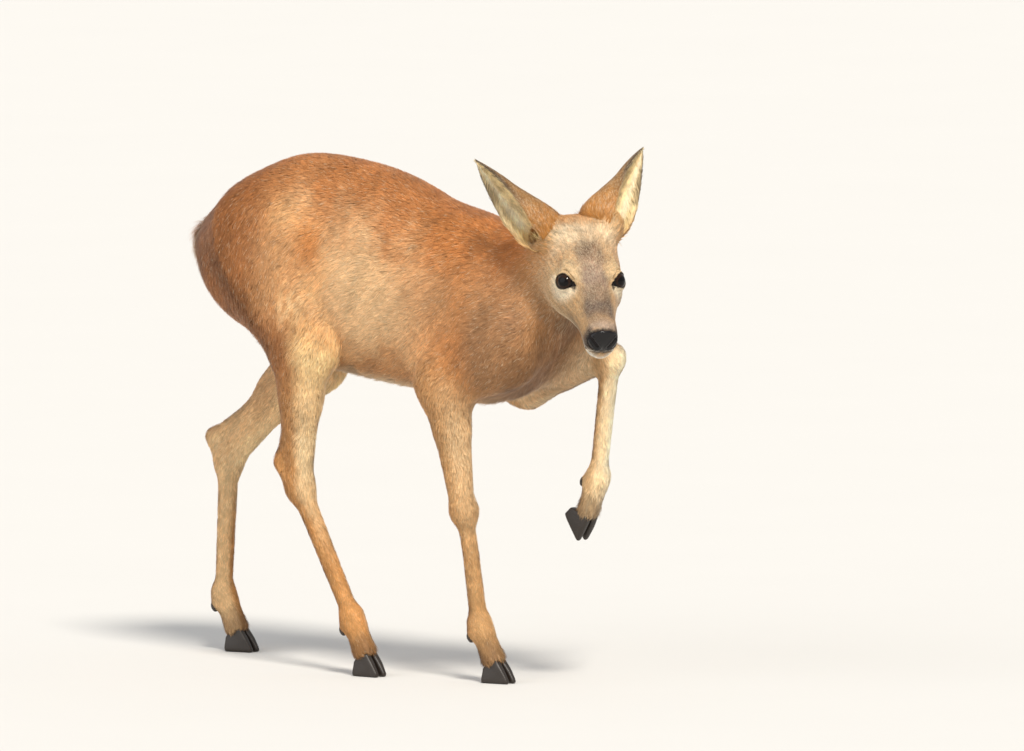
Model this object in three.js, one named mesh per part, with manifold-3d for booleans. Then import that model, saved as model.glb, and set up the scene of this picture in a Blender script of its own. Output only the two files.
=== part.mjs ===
// A life-size roe deer doe, standing with her left foreleg lifted and her head turned to the right.
// Millimetres, +Z up. The deer faces -Y, and her left side is +X.
import * as THREE from "three";
import { mergeVertices } from "three/addons/utils/BufferGeometryUtils.js";
import Module from "manifold-3d";

const wasm = await Module();
wasm.setup();

// Thin cut between neighbouring parts.
const GAP = 0.3;
const WORLD = 2000;

// A place on the deer, told from the middle of her trunk: ahead, to her left, and above the floor.
const place = (ahead, left, height) => new THREE.Vector3(left, -ahead, height);

// ---- Trunk, told as cross-sections from the rump to the breast ----
const TRUNK = [
  { at: -324, top: 584, bottom: 508, half: 38, round: 2.0 },
  { at: -270, top: 610, bottom: 472, half: 54, round: 1.9 },
  { at: -210, top: 646, bottom: 434, half: 70, round: 2.0 },
  { at: -140, top: 669, bottom: 408, half: 80, round: 2.2 },
  { at: -60, top: 667, bottom: 388, half: 81, round: 2.2 },
  { at: 20, top: 651, bottom: 378, half: 89, round: 2.2 },
  { at: 100, top: 620, bottom: 370, half: 87, round: 2.1 },
  { at: 170, top: 593, bottom: 364, half: 72, round: 2.0 },
  { at: 230, top: 572, bottom: 376, half: 60, round: 2.0 },
  { at: 290, top: 556, bottom: 408, half: 46, round: 2.0 },
];
const TRUNK_CAPS = { back: 70, front: 70, widest: 0.48 };

// ---- Neck, told as balls strung along it ----
const NECK = [
  { at: place(150, 0, 490), radius: 96 },
  { at: place(225, -4, 506), radius: 74 },
  { at: place(288, -18, 534), radius: 59 },
  { at: place(344, -40, 560), radius: 50 },
];
const NECK_FLAT = 0.8;

// ---- Head, in a frame of its own: along from crown to nose, to her left, and up from the bridge ----
const CROWN = place(363, -47, 613);
const NOSE_TIP = place(479, -137.5, 477.4);
const HEAD = [
  { at: -26, top: -9, bottom: -66, half: 31, round: 2.0 },
  { at: 12, top: 2, bottom: -86, half: 40, round: 2.1 },
  { at: 48, top: 8, bottom: -96, half: 43, round: 2.0 },
  { at: 80, top: 8, bottom: -94, half: 43, round: 1.75 },
  { at: 105, top: 5, bottom: -83, half: 39, round: 1.7 },
  { at: 130, top: 1, bottom: -70, half: 31, round: 1.85 },
  { at: 155, top: -1, bottom: -58, half: 24, round: 2.1 },
  { at: 180, top: -1, bottom: -53, half: 22, round: 2.3 },
  { at: 201, top: -4, bottom: -46, half: 20, round: 2.3 },
];
const HEAD_CAPS = { back: 30, front: 13, widest: 0.45 };
const EYE = { along: 93, aside: 30.2, up: -19.5, radius: 15 };
const CHEEK = { along: 62, aside: 30, up: -56, half: [38, 17, 27] };
const BROW = { along: 80, aside: 26, up: -9, half: [18, 10, 9] };
const EAR_ROOT = { along: 10, aside: 32, up: -14, half: [20, 15, 18] };
const CHIN = { along: 184, aside: 0, up: -46, half: [17, 14, 9] };
const NOSE_PAD = { along: 199, up: -16, half: [15, 23.5, 18] };

// An ear is a leaf rolled into a scoop: told by its lean from the head, and where its mouth faces.
const EAR = { long: 145, halfWrap: 52, rollBase: 2.45, rollTip: 1.25, thick: 4.5, rimThick: 2.2, bow: 6, rootTo: 0.6 };
const EAR_LEANS = {
  right: { seat: [4.5, -29.5, -22.5], tip: [-0.745, -0.645, 0.165], mouth: [0.66, -0.75, 0.04], root: 15 },
  left: { seat: [0, 15.5, -22.5], tip: [-0.8, 0.565, 0.19], mouth: [0.58, 0.67, 0.46], root: 21 },
};
const TAIL = { at: place(-316, 0, 548), half: [11, 11, 22] };

// ---- Legs, told by their joints ----
const FORELEGS = {
  right: {
    side: -1,
    shoulder: place(236, -58, 446),
    elbow: place(152, -70, 390),
    muscle: place(160, -65, 334),
    knee: place(168, -50, 224),
    fetlock: place(172, -24, 76),
    coronet: place(195, -21, 27),
    toe: place(1, 0.05, 0),
    front: place(0, 0, 1),
  },
  left: {
    side: 1,
    shoulder: place(244, 58, 452),
    elbow: place(172, 72, 392),
    muscle: place(232, 68, 406),
    knee: place(322, 61, 424),
    fetlock: place(302, 60, 268),
    coronet: place(284, 60, 221),
    toe: place(0.47, 0, -0.88),
    front: place(0.88, 0, 0.47),
  },
};
const HINDLEGS = {
  right: {
    side: -1,
    hip: place(-181, -54, 539),
    stifle: place(-86, -77, 434),
    muscle: place(-90, -72, 360),
    hock: place(-98, -65, 240),
    heel: place(-127, -65, 272),
    fetlock: place(-14, -60, 76),
    coronet: place(10, -60, 27),
    toe: place(1, -0.05, 0),
    front: place(0, 0, 1),
  },
  left: {
    side: 1,
    hip: place(-190, 54, 539),
    stifle: place(-192, 76, 400),
    muscle: place(-250, 72, 345),
    hock: place(-334, 68, 252),
    heel: place(-358, 68, 282),
    fetlock: place(-352, 78, 76),
    coronet: place(-328, 79, 27),
    toe: place(1, 0.1, 0),
    front: place(0, 0, 1),
  },
};

// ---- Signed distances: below zero is inside the animal ----

// Joins two shapes, with a fillet about `reach` wide in the valley between them.
function blend(a, b, reach) {
  const near = Math.max(reach - Math.abs(a - b), 0) / reach;
  return Math.min(a, b) - (near * near * reach) / 4;
}

// A tapered rod with round ends. `flat` under 1 makes it narrower from side to side than it is deep.
function rod(point, from, to, fromRadius, toRadius, flat = 1) {
  const axis = to.clone().sub(from);
  const away = point.clone().sub(from);
  const share = THREE.MathUtils.clamp(away.dot(axis) / axis.lengthSq(), 0, 1);
  away.addScaledVector(axis, -share);
  away.x /= flat;
  return (away.length() - THREE.MathUtils.lerp(fromRadius, toRadius, share)) * Math.min(flat, 1);
}

function ball(point, middle, radius, flat = 1) {
  const away = point.clone().sub(middle);
  away.x /= flat;
  return (away.length() - radius) * Math.min(flat, 1);
}

// An egg with three half sizes, told by where the point lies from its middle.
function egg(along, aside, up, half) {
  const spread = Math.hypot(along / half[0], aside / half[1], up / half[2]);
  return (spread - 1) * Math.min(...half);
}

// A smooth value between stations, from the four stations around the place.
function between(stations, key, at) {
  const last = stations.length - 1;
  let i = 0;
  while (i < last - 1 && stations[i + 1].at < at) {
    i += 1;
  }
  const [a, b] = [stations[i], stations[i + 1]];
  const [before, after] = [stations[Math.max(i - 1, 0)], stations[Math.min(i + 2, last)]];
  const step = b.at - a.at;
  const share = THREE.MathUtils.clamp((at - a.at) / step, 0, 1);
  const slopeA = ((b[key] - before[key]) / (b.at - before.at)) * step;
  const slopeB = ((after[key] - a[key]) / (after.at - a.at)) * step;
  const s2 = share * share;
  const s3 = s2 * share;
  return (
    (2 * s3 - 3 * s2 + 1) * a[key] +
    (s3 - 2 * s2 + share) * slopeA +
    (3 * s2 - 2 * s3) * b[key] +
    (s3 - s2) * slopeB
  );
}

// A body told by stations: rounded sections that close like an egg over the caps at both ends.
function sections(along, aside, height, stations, caps) {
  const top = between(stations, "top", along);
  const bottom = between(stations, "bottom", along);
  const half = between(stations, "half", along);
  const round = between(stations, "round", along);
  const middle = THREE.MathUtils.lerp(bottom, top, caps.widest);
  const rise = height > middle ? top - middle : middle - bottom;
  const spread = (Math.abs(aside) / half) ** round + (Math.abs(height - middle) / rise) ** round;
  const start = stations[0].at;
  const end = stations[stations.length - 1].at;
  const past = Math.max((start + caps.back - along) / caps.back, (along - end + caps.front) / caps.front, 0);
  return ((spread + past ** round) ** (1 / round) - 1) * Math.min(half, rise);
}

// ---- The head's own frame ----
const headAlong = NOSE_TIP.clone().sub(CROWN).normalize();
const headLeft = new THREE.Vector3().crossVectors(new THREE.Vector3(0, 0, 1), headAlong).normalize();
const headUp = new THREE.Vector3().crossVectors(headAlong, headLeft);
const headFrame = new THREE.Matrix4()
  .makeBasis(headAlong, headLeft, headUp)
  .setPosition(CROWN);
const toHead = headFrame.clone().invert();
const onHead = (along, left, up) => new THREE.Vector3(along, left, up).applyMatrix4(headFrame);

function headShape(point) {
  const p = point.clone().applyMatrix4(toHead);
  const aside = Math.abs(p.y);
  const lump = (part, reach, distance) =>
    blend(distance, egg(p.x - part.along, aside - part.aside, p.z - part.up, part.half), reach);
  let distance = sections(p.x, p.y, p.z, HEAD, HEAD_CAPS);
  distance = lump(CHEEK, 18, distance);
  distance = lump(BROW, 12, distance);
  distance = lump(EAR_ROOT, 14, distance);
  return lump(CHIN, 8, distance);
}

function trunkShape(point) {
  return sections(-point.y, point.x, point.z, TRUNK, TRUNK_CAPS);
}

function neckShape(point) {
  let distance = Infinity;
  for (let i = 0; i + 1 < NECK.length; i += 1) {
    const [from, to] = [NECK[i], NECK[i + 1]];
    distance = Math.min(distance, rod(point, from.at, to.at, from.radius, to.radius, NECK_FLAT));
  }
  return distance;
}

// From the fetlock down: the pastern, which widens above the claws.
function footShape(point, leg) {
  const joint = rod(point, leg.fetlock, leg.fetlock.clone().lerp(leg.coronet, 0.2), 16.5, 15.5);
  return blend(joint, rod(point, leg.fetlock, leg.coronet, 13.5, 16.5), 8);
}

function foreShape(point, leg) {
  const blade = place(140, leg.side * 34, 548);
  let distance = rod(point, blade, leg.shoulder, 38, 56, 0.7);
  distance = blend(distance, rod(point, leg.shoulder, leg.elbow, 54, 38, 0.72), 26);
  distance = blend(distance, rod(point, leg.elbow, leg.muscle, 42, 27, 0.8), 16);
  distance = blend(distance, rod(point, leg.muscle, leg.knee, 26, 17.5, 0.9), 10);
  distance = blend(distance, ball(point, leg.knee, 19.5, 0.95), 10);
  distance = blend(distance, rod(point, leg.knee, leg.fetlock, 13, 11.6), 12);
  return blend(distance, footShape(point, leg), 8);
}

function hindShape(point, leg) {
  const rump = place(-212, leg.side * 38, 522);
  const calf = leg.muscle.clone().lerp(leg.heel, 0.3);
  let distance = rod(point, rump, leg.hip, 56, 75, 0.56);
  distance = blend(distance, rod(point, leg.hip, leg.stifle, 77, 52, 0.56), 30);
  distance = blend(distance, rod(point, leg.stifle, leg.muscle, 43, 31, 0.66), 20);
  distance = blend(distance, rod(point, leg.muscle, leg.hock, 28, 17, 0.8), 16);
  distance = blend(distance, rod(point, calf, leg.heel, 13, 10.5), 14);
  distance = blend(distance, rod(point, leg.heel, leg.hock, 11.5, 20, 0.85), 12);
  distance = blend(distance, rod(point, leg.hock, leg.fetlock, 14.5, 12, 0.9), 12);
  return blend(distance, footShape(point, leg), 8);
}

function bodyShape(point) {
  let distance = blend(trunkShape(point), neckShape(point), 46);
  distance = blend(distance, headShape(point), 22);
  for (const leg of Object.values(FORELEGS)) {
    distance = blend(distance, foreShape(point, leg), 26);
  }
  for (const leg of Object.values(HINDLEGS)) {
    distance = blend(distance, hindShape(point, leg), 30);
  }
  return distance;
}

// ---- Solids ----

// A solid from any closed geometry.
function solidOf(geometry) {
  const bare = geometry.clone();
  bare.deleteAttribute("normal");
  bare.deleteAttribute("uv");
  const merged = mergeVertices(bare, 1e-4);
  return new wasm.Manifold(
    new wasm.Mesh({
      numProp: 3,
      vertProperties: new Float32Array(merged.attributes.position.array),
      triVerts: new Uint32Array(merged.index.array),
    }),
  );
}

// Half of space as a solid: everything ahead of the plane through `point`, in the direction `normal`.
function beyond(point, normal) {
  const box = new THREE.BoxGeometry(WORLD, WORLD, WORLD).translate(0, 0, WORLD / 2);
  const turn = new THREE.Quaternion().setFromUnitVectors(new THREE.Vector3(0, 0, 1), normal);
  box.applyQuaternion(turn);
  return solidOf(box.translate(point.x, point.y, point.z));
}

// Keeps what lies behind a plane, and leaves half of the thin cut open.
function behind(solid, point, normal) {
  return solid.subtract(beyond(point.clone().addScaledVector(normal, -GAP / 2), normal));
}

// How far from `middle` the shape's wall lies in a direction, by stepping out and then halving.
function wall(shape, middle, direction, reach) {
  const step = reach / 60;
  const probe = new THREE.Vector3();
  const inside = (far) => shape(probe.copy(middle).addScaledVector(direction, far)) < 0;
  let far = 0;
  while (far < reach && inside(far + step)) {
    far += step;
  }
  let span = step;
  for (let i = 0; i < 12; i += 1) {
    span /= 2;
    if (inside(far + span)) {
      far += span;
    }
  }
  return Math.max(far, 0.05);
}

// A closed skin around an axis: rings of wall points, closed by a point at each end.
function wrap(shape, rings, sides, reach) {
  const points = [];
  const faces = [];
  const first = rings[0];
  const last = rings[rings.length - 1];
  for (const { middle, across, up, wide, high } of rings) {
    for (let k = 0; k < sides; k += 1) {
      const angle = (2 * Math.PI * (k + 0.5)) / sides;
      const direction = across.clone().multiplyScalar(wide * Math.cos(angle));
      direction.addScaledVector(up, high * Math.sin(angle)).normalize();
      const far = wall(shape, middle, direction, reach);
      points.push(middle.clone().addScaledVector(direction, far));
    }
  }
  const startTip = points.push(first.middle) - 1;
  const endTip = points.push(last.middle) - 1;
  for (let i = 0; i + 1 < rings.length; i += 1) {
    for (let k = 0; k < sides; k += 1) {
      const next = (k + 1) % sides;
      const [a, b] = [i * sides + k, i * sides + next];
      const [c, d] = [a + sides, b + sides];
      const shortDiagonal = points[a].distanceTo(points[d]) < points[b].distanceTo(points[c]);
      faces.push(...(shortDiagonal ? [a, b, d, a, d, c] : [a, b, c, b, d, c]));
    }
  }
  const lastRing = (rings.length - 1) * sides;
  for (let k = 0; k < sides; k += 1) {
    const next = (k + 1) % sides;
    faces.push(startTip, next, k);
    faces.push(endTip, lastRing + k, lastRing + next);
  }
  const geometry = new THREE.BufferGeometry().setFromPoints(points);
  geometry.setIndex(faces);
  return solidOf(geometry);
}

// Rings square to a straight axis, closer together near ends that close on themselves.
function ringsAlong(from, to, count, { wide = 1, high = 1, closeStart = false, closeEnd = false } = {}) {
  const axis = to.clone().sub(from).normalize();
  const side = Math.abs(axis.x) > 0.9 ? new THREE.Vector3(0, 1, 0) : new THREE.Vector3(1, 0, 0);
  const up = new THREE.Vector3().crossVectors(axis, side).normalize();
  const across = new THREE.Vector3().crossVectors(up, axis);
  const rings = [];
  for (let i = 0; i < count; i += 1) {
    let share = i / (count - 1);
    if (closeStart && closeEnd) {
      share = (1 - Math.cos(Math.PI * share)) / 2;
    } else if (closeStart) {
      share = 1 - Math.cos((Math.PI * share) / 2);
    } else if (closeEnd) {
      share = Math.sin((Math.PI * share) / 2);
    }
    rings.push({ middle: from.clone().lerp(to, share), across, up, wide, high });
  }
  return rings;
}

// ---- Materials, one for each mesh ----
const FINISH = {
  back: { color: 0x9a5a2c, roughness: 0.9, metalness: 0 },
  neck: { color: 0x9c6236, roughness: 0.9, metalness: 0 },
  face: { color: 0x9b8468, roughness: 0.9, metalness: 0 },
  ear: { color: 0xb2976c, roughness: 0.9, metalness: 0 },
  shank: { color: 0xc99355, roughness: 0.9, metalness: 0 },
  eye: { color: 0x0b0908, roughness: 0.05, metalness: 0 },
  nose: { color: 0x141215, roughness: 0.3, metalness: 0 },
  hoof: { color: 0x2a2520, roughness: 0.5, metalness: 0 },
};

const deer = new THREE.Group();

function meshOf(name, solid, finish) {
  const { vertProperties, triVerts } = solid.getMesh();
  const geometry = new THREE.BufferGeometry();
  geometry.setAttribute("position", new THREE.BufferAttribute(new Float32Array(vertProperties), 3));
  geometry.setIndex(new THREE.BufferAttribute(new Uint32Array(triVerts), 1));
  const mesh = new THREE.Mesh(geometry, new THREE.MeshStandardMaterial(FINISH[finish]));
  mesh.name = name;
  return mesh;
}

function add(name, solid, finish) {
  deer.add(meshOf(name, solid, finish));
}

// ---- Feet: two claws on their soles, and two dewclaws behind the pastern ----
const CLAW = { heel: 17, toe: 30, top: 46, lift: 27, thick: 14.4, apart: 8.1, bevel: 2.4, taper: 0.55 };
const DEWCLAW = { half: [5, 6.5, 8.5], apart: 8.5, behind: 15, share: 0.22 };

// The foot's own frame stands under the coronet: x to the toe, y up the front, z across to the right.
function footFrame(leg) {
  const toe = leg.toe.clone().normalize();
  const right = new THREE.Vector3().crossVectors(toe, leg.front).normalize();
  const front = new THREE.Vector3().crossVectors(right, toe);
  const heart = leg.coronet.clone().addScaledVector(front, -CLAW.lift);
  return new THREE.Matrix4().makeBasis(toe, front, right).setPosition(heart);
}

// One claw, seen from the side and given its thickness, then drawn in towards the toe.
function claw(leg, side) {
  const outline = new THREE.Shape();
  outline.moveTo(4 - CLAW.heel, 0);
  outline.lineTo(CLAW.toe - 4, 0);
  outline.quadraticCurveTo(CLAW.toe, 0.5, CLAW.toe - 3, 6);
  outline.lineTo(3, CLAW.top);
  outline.lineTo(-CLAW.heel - 5, CLAW.top - 8);
  outline.quadraticCurveTo(-CLAW.heel - 5, 12, 4 - CLAW.heel, 0);
  const plate = new THREE.ExtrudeGeometry(outline, {
    depth: CLAW.thick - 2 * CLAW.bevel,
    bevelSize: CLAW.bevel,
    bevelOffset: -CLAW.bevel,
    bevelThickness: CLAW.bevel,
    bevelSegments: 1,
    curveSegments: 3,
  });
  plate.translate(0, 0, CLAW.bevel - CLAW.thick / 2);
  const spots = plate.attributes.position;
  for (let i = 0; i < spots.count; i += 1) {
    const thinner = CLAW.taper * THREE.MathUtils.smoothstep(spots.getX(i), 0, CLAW.toe + 6);
    spots.setZ(i, spots.getZ(i) * (1 - thinner) + side * (CLAW.apart - 2 * thinner));
  }
  return solidOf(plate.applyMatrix4(footFrame(leg)));
}

function dewclaw(leg, side, grow = 0) {
  const [wide, deep, high] = DEWCLAW.half.map((half) => half + grow);
  const bud = new THREE.SphereGeometry(1, 6, 4).scale(deep, high, wide);
  bud.translate(-DEWCLAW.behind, 0, side * DEWCLAW.apart);
  const right = new THREE.Vector3().setFromMatrixColumn(footFrame(leg), 2);
  const upward = leg.fetlock.clone().sub(leg.coronet).normalize();
  const ahead = new THREE.Vector3().crossVectors(upward, right);
  const spot = leg.fetlock.clone().lerp(leg.coronet, DEWCLAW.share);
  return solidOf(bud.applyMatrix4(new THREE.Matrix4().makeBasis(ahead, upward, right).setPosition(spot)));
}

// ---- Ears ----
function ear(lean) {
  const rows = 9;
  const columns = 6;
  const turn = (parts) => onHead(...parts).sub(CROWN).normalize();
  const up = turn(lean.tip);
  const mouth = turn(lean.mouth);
  mouth.addScaledVector(up, -mouth.dot(up)).normalize();
  const across = new THREE.Vector3().crossVectors(up, mouth);
  const seat = onHead(...lean.seat);
  const points = [];
  for (const inner of [0, 1]) {
    for (let i = 0; i <= rows; i += 1) {
      const share = 1 - (1 - i / rows) ** 1.15;
      const leaf = Math.sin(Math.PI * THREE.MathUtils.lerp(0.41, 1, share)) ** 0.88;
      const root = lean.root * (1 - THREE.MathUtils.smoothstep(share, 0.05, EAR.rootTo));
      const roll = THREE.MathUtils.lerp(EAR.rollBase, EAR.rollTip, share ** 0.6);
      const radius = (EAR.halfWrap * Math.max(leaf, 0.05)) / roll;
      for (let j = 0; j <= columns; j += 1) {
        const angle = roll * ((2 * j) / columns - 1);
        const rim = Math.abs((2 * j) / columns - 1) ** 3;
        const slim = THREE.MathUtils.lerp(1, 0.35, share ** 3);
        const thick = inner * slim * THREE.MathUtils.lerp(EAR.thick, EAR.rimThick, rim);
        const muscle = (1 - inner) * root * Math.max(Math.cos(angle * 0.75), 0) ** 1.5;
        const reach = radius - thick + muscle;
        const depth = radius - reach * Math.cos(angle) - EAR.bow * Math.sin(Math.PI * share);
        const point = seat.clone().addScaledVector(up, share * EAR.long);
        point.addScaledVector(mouth, depth).addScaledVector(across, reach * Math.sin(angle));
        points.push(point);
      }
    }
  }
  const wide = columns + 1;
  const layer = (rows + 1) * wide;
  const faces = [];
  const quad = (a, b, c, d) => faces.push(a, c, b, a, d, c);
  for (let i = 0; i < rows; i += 1) {
    for (let j = 0; j < columns; j += 1) {
      const a = i * wide + j;
      quad(a, a + 1, a + wide + 1, a + wide);
      quad(layer + a, layer + a + wide, layer + a + wide + 1, layer + a + 1);
    }
    const [left, right] = [i * wide, i * wide + columns];
    quad(left, left + wide, layer + left + wide, layer + left);
    quad(right, layer + right, layer + right + wide, right + wide);
  }
  for (let j = 0; j < columns; j += 1) {
    const tip = rows * wide + j;
    quad(j, layer + j, layer + j + 1, j + 1);
    quad(tip, tip + 1, layer + tip + 1, layer + tip);
  }
  const geometry = new THREE.BufferGeometry().setFromPoints(points);
  geometry.setIndex(faces);
  return solidOf(geometry);
}

// ---- Head, neck and trunk ----

// Where the neck leaves the trunk, and where the head leaves the neck.
const NECK_CUT = { point: place(168, 0, 600), normal: place(0.73, -0.03, 0.68).normalize() };
const HEAD_CUT = { point: onHead(-6, 0, 0), normal: place(0.93, -0.34, -0.12).normalize() };

const cut = (solid, plane) => behind(solid, plane.point, plane.normal);
const cutAbove = (solid, plane) => behind(solid, plane.point, plane.normal.clone().negate());

function skull(grow = 0) {
  const rings = ringsAlong(onHead(-40, 0, -36), onHead(202, 0, -27), 23, { closeEnd: true });
  rings.forEach((ring) => {
    ring.across = headLeft;
    ring.up = headUp;
  });
  return wrap((point) => bodyShape(point) - grow, rings, 22, 90);
}

function nape(grow = 0) {
  const path = new THREE.CatmullRomCurve3([...NECK.map((ball) => ball.at), onHead(35, 0, -44)]);
  const rings = [];
  const count = 11;
  for (let i = 0; i < count; i += 1) {
    const axis = path.getTangentAt(i / (count - 1));
    const across = new THREE.Vector3().crossVectors(new THREE.Vector3(0, 0, 1), axis).normalize();
    const up = new THREE.Vector3().crossVectors(axis, across);
    rings.push({ middle: path.getPointAt(i / (count - 1)), across, up, wide: 1, high: 1.2 });
  }
  return wrap((point) => bodyShape(point) - grow, rings, 16, 120);
}

function barrel() {
  const rings = ringsAlong(place(-320, 0, 500), place(345, 0, 480), 22, { closeStart: true, closeEnd: true });
  for (const ring of rings) {
    const ahead = -ring.middle.y;
    const [bottom, top] = [between(TRUNK, "bottom", ahead), between(TRUNK, "top", ahead)];
    ring.middle.z = THREE.MathUtils.lerp(bottom, top, TRUNK_CAPS.widest);
    ring.across = new THREE.Vector3(1, 0, 0);
    ring.up = new THREE.Vector3(0, 0, 1);
    ring.high = 1.3;
  }
  return wrap(bodyShape, rings, 20, 190);
}

// ---- Legs ----

// A leg's root is all that lies outward of a slanting plane and within a circle seen from the side.
function rootCell(circle, leg) {
  const drum = new THREE.CylinderGeometry(circle.radius, circle.radius, 200, 30);
  drum.rotateZ(Math.PI / 2);
  drum.translate(leg.side * (circle.inner + 100), 0, 0);
  drum.rotateY(leg.side * circle.tilt);
  return (gap) => {
    const sized = drum.clone().scale(1, 1 - gap / circle.radius, 1 - gap / circle.radius);
    const { x, y, z } = place(circle.ahead, leg.side * gap, circle.height);
    return solidOf(sized.translate(x, y, z));
  };
}

// The slanting plane of a leg's root, told by a point on it and the way out of the body.
function rootPlane(circle, leg) {
  const tall = new THREE.Vector3(0, 1, 0);
  const normal = new THREE.Vector3(leg.side, 0, 0).applyAxisAngle(tall, leg.side * circle.tilt);
  const point = place(circle.ahead, 0, circle.height).addScaledVector(normal, circle.inner + GAP / 2);
  return { point, normal };
}

// One length of a leg, skinned about its own axis from `from` to `to` and a little past both.
function length(from, to, { count, sides = 10, reach, before = 0, after = 0, wide = 1 }) {
  const axis = to.clone().sub(from).normalize();
  const back = axis.clone().negate();
  const start = from.clone().addScaledVector(back, wall(bodyShape, from, back, before) - 1);
  const end = to.clone().addScaledVector(axis, wall(bodyShape, to, axis, after) - 1);
  return wrap(bodyShape, ringsAlong(start, end, count, { wide }), sides, reach);
}

// The plane that halves the bend at a joint.
function jointPlane(above, joint, below) {
  const down = joint.clone().sub(above).normalize();
  return { point: joint, normal: below.clone().sub(joint).normalize().add(down).normalize() };
}

let trunk = cut(barrel(), NECK_CUT);
let neck = cut(cutAbove(nape(), NECK_CUT), HEAD_CUT);

function addShank(name, leg, joint, start, cannonAxis) {
  const fetlockPlane = jointPlane(joint, leg.fetlock, leg.coronet);
  const footPlane = { point: leg.coronet, normal: leg.coronet.clone().sub(leg.fetlock).normalize() };
  const cannon = length(joint, leg.fetlock, cannonAxis);
  let pastern = length(leg.fetlock, leg.coronet, { count: 5, sides: 8, reach: 40, before: 18, after: 12 });
  pastern = cut(cutAbove(pastern, fetlockPlane), footPlane);
  let shank = cut(cutAbove(cannon, start), fetlockPlane);
  for (const [side, where] of [[-1, "inner"], [1, "outer"]]) {
    const across = side * -leg.side;
    add(`${name}_${where}_claw`, cutAbove(claw(leg, across), footPlane), "hoof");
    add(`${name}_${where}_dewclaw`, dewclaw(leg, across), "hoof");
    pastern = pastern.subtract(dewclaw(leg, across, GAP));
    shank = shank.subtract(dewclaw(leg, across, GAP));
  }
  add(`${name}_cannon`, shank, "shank");
  add(`${name}_pastern`, pastern, "shank");
}

const SHOULDER = { ahead: 205, height: 412, radius: 110, inner: 30, tilt: 0.1 };
const FOREARM_START = 22;

function addForeleg(name, leg) {
  const cell = rootCell(SHOULDER, leg);
  const down = leg.knee.clone().sub(leg.elbow).normalize();
  const elbowPlane = { point: leg.elbow.clone().addScaledVector(down, FOREARM_START), normal: down };
  const kneePlane = jointPlane(leg.elbow, leg.knee, leg.fetlock);
  const forearmSleeve = (gap) =>
    wrap(
      (point) => rod(point, leg.elbow, leg.knee, 58 - gap, 44 - gap, 0.95),
      ringsAlong(elbowPlane.point.clone().addScaledVector(down, gap), leg.knee, 5),
      12,
      60,
    );
  const upper = length(leg.shoulder, leg.elbow, { count: 8, sides: 12, reach: 130, before: 110, after: 60 });
  add(`${name}_upper_arm`, upper.intersect(cell(GAP)).subtract(forearmSleeve(0)), "back");
  const forearm = length(leg.elbow, leg.knee, { count: 10, reach: 60, before: 10, after: 24 });
  add(`${name}_forearm`, cut(forearm.intersect(forearmSleeve(GAP)), kneePlane), "shank");
  trunk = trunk.subtract(cell(0)).subtract(forearmSleeve(0));
  neck = neck.subtract(cell(0)).subtract(forearmSleeve(0));
  addShank(name, leg, leg.knee, kneePlane, { count: 9, reach: 40, before: 24, after: 12 });
}

const HAUNCH = { right: { ahead: -241, height: 388, radius: 245, inner: 26, tilt: 0.12 } };
HAUNCH.left = { ...HAUNCH.right, ahead: -285 };

function addHindleg(name, leg, circle) {
  const cell = rootCell(circle, leg);
  const top = place(-235, leg.side * 70, 600);
  const bend = leg.stifle.clone().lerp(leg.muscle, 0.45);
  const stiflePlane = jointPlane(top, bend, leg.hock);
  const hockPlane = jointPlane(leg.muscle, leg.hock, leg.fetlock);
  const thigh = length(top, bend, { count: 10, sides: 16, reach: 230, before: 60, after: 60, wide: 0.6 });
  add(`${name}_thigh`, cut(thigh.intersect(cell(GAP)), stiflePlane), "back");
  const gaskin = length(leg.muscle, leg.hock, { count: 11, sides: 10, reach: 70, before: 90, after: 40 });
  const outer = cutAbove(gaskin, rootPlane(circle, leg));
  add(`${name}_gaskin`, cut(cutAbove(outer, stiflePlane), hockPlane), "shank");
  trunk = trunk.subtract(cell(0));
  addShank(name, leg, leg.hock, hockPlane, { count: 10, reach: 60, before: 44, after: 12 });
}

for (const [side, leg] of Object.entries(FORELEGS)) {
  addForeleg(`${side}_fore`, leg);
}
for (const [side, leg] of Object.entries(HINDLEGS)) {
  addHindleg(`${side}_hind`, leg, HAUNCH[side]);
}

// A ball or an egg on the head, `grow` larger than its size.
function headEgg(along, left, up, half, grow = 0) {
  const bud = new THREE.SphereGeometry(1, 12, 8).scale(...half.map((size) => size + grow));
  return solidOf(bud.translate(along, left, up).applyMatrix4(headFrame));
}

const skullSolid = cutAbove(skull(), HEAD_CUT);
const nosePad = (grow) => headEgg(NOSE_PAD.along, 0, NOSE_PAD.up, NOSE_PAD.half, grow);
let head = skullSolid.subtract(nosePad(GAP));
add("nose_pad", skullSolid.intersect(nosePad(0)), "nose");
for (const [side, lean] of Object.entries(EAR_LEANS)) {
  const left = FORELEGS[side].side;
  const eye = (grow) => headEgg(EYE.along, left * EYE.aside, EYE.up, Array(3).fill(EYE.radius), grow);
  head = head.subtract(eye(GAP));
  add(`${side}_eye`, eye(0), "eye");
  add(`${side}_ear`, ear(lean).subtract(skull(GAP)).subtract(nape(GAP)), "ear");
}
add("head", head, "face");
add("neck", neck, "neck");

const tail = (grow) => {
  const bud = new THREE.SphereGeometry(1, 8, 6).scale(...TAIL.half.map((size) => size + grow));
  return solidOf(bud.translate(TAIL.at.x, TAIL.at.y, TAIL.at.z));
};
add("tail", tail(0), "back");
add("trunk", trunk.subtract(tail(GAP)), "back");

// The deer stands on the middle of her own box.
const box = new THREE.Box3().setFromObject(deer);
const middle = box.getCenter(new THREE.Vector3()).setZ(box.min.z);
for (const mesh of deer.children) {
  mesh.geometry.translate(-middle.x, -middle.y, -middle.z);
}

export default deer;
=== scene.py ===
# A roe deer doe in summer coat, life size: skin, coat, eyes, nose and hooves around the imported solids.
# Shapes are worked out in millimetres from the middle of her trunk, then moved into the frame, in metres.
import math

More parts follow.
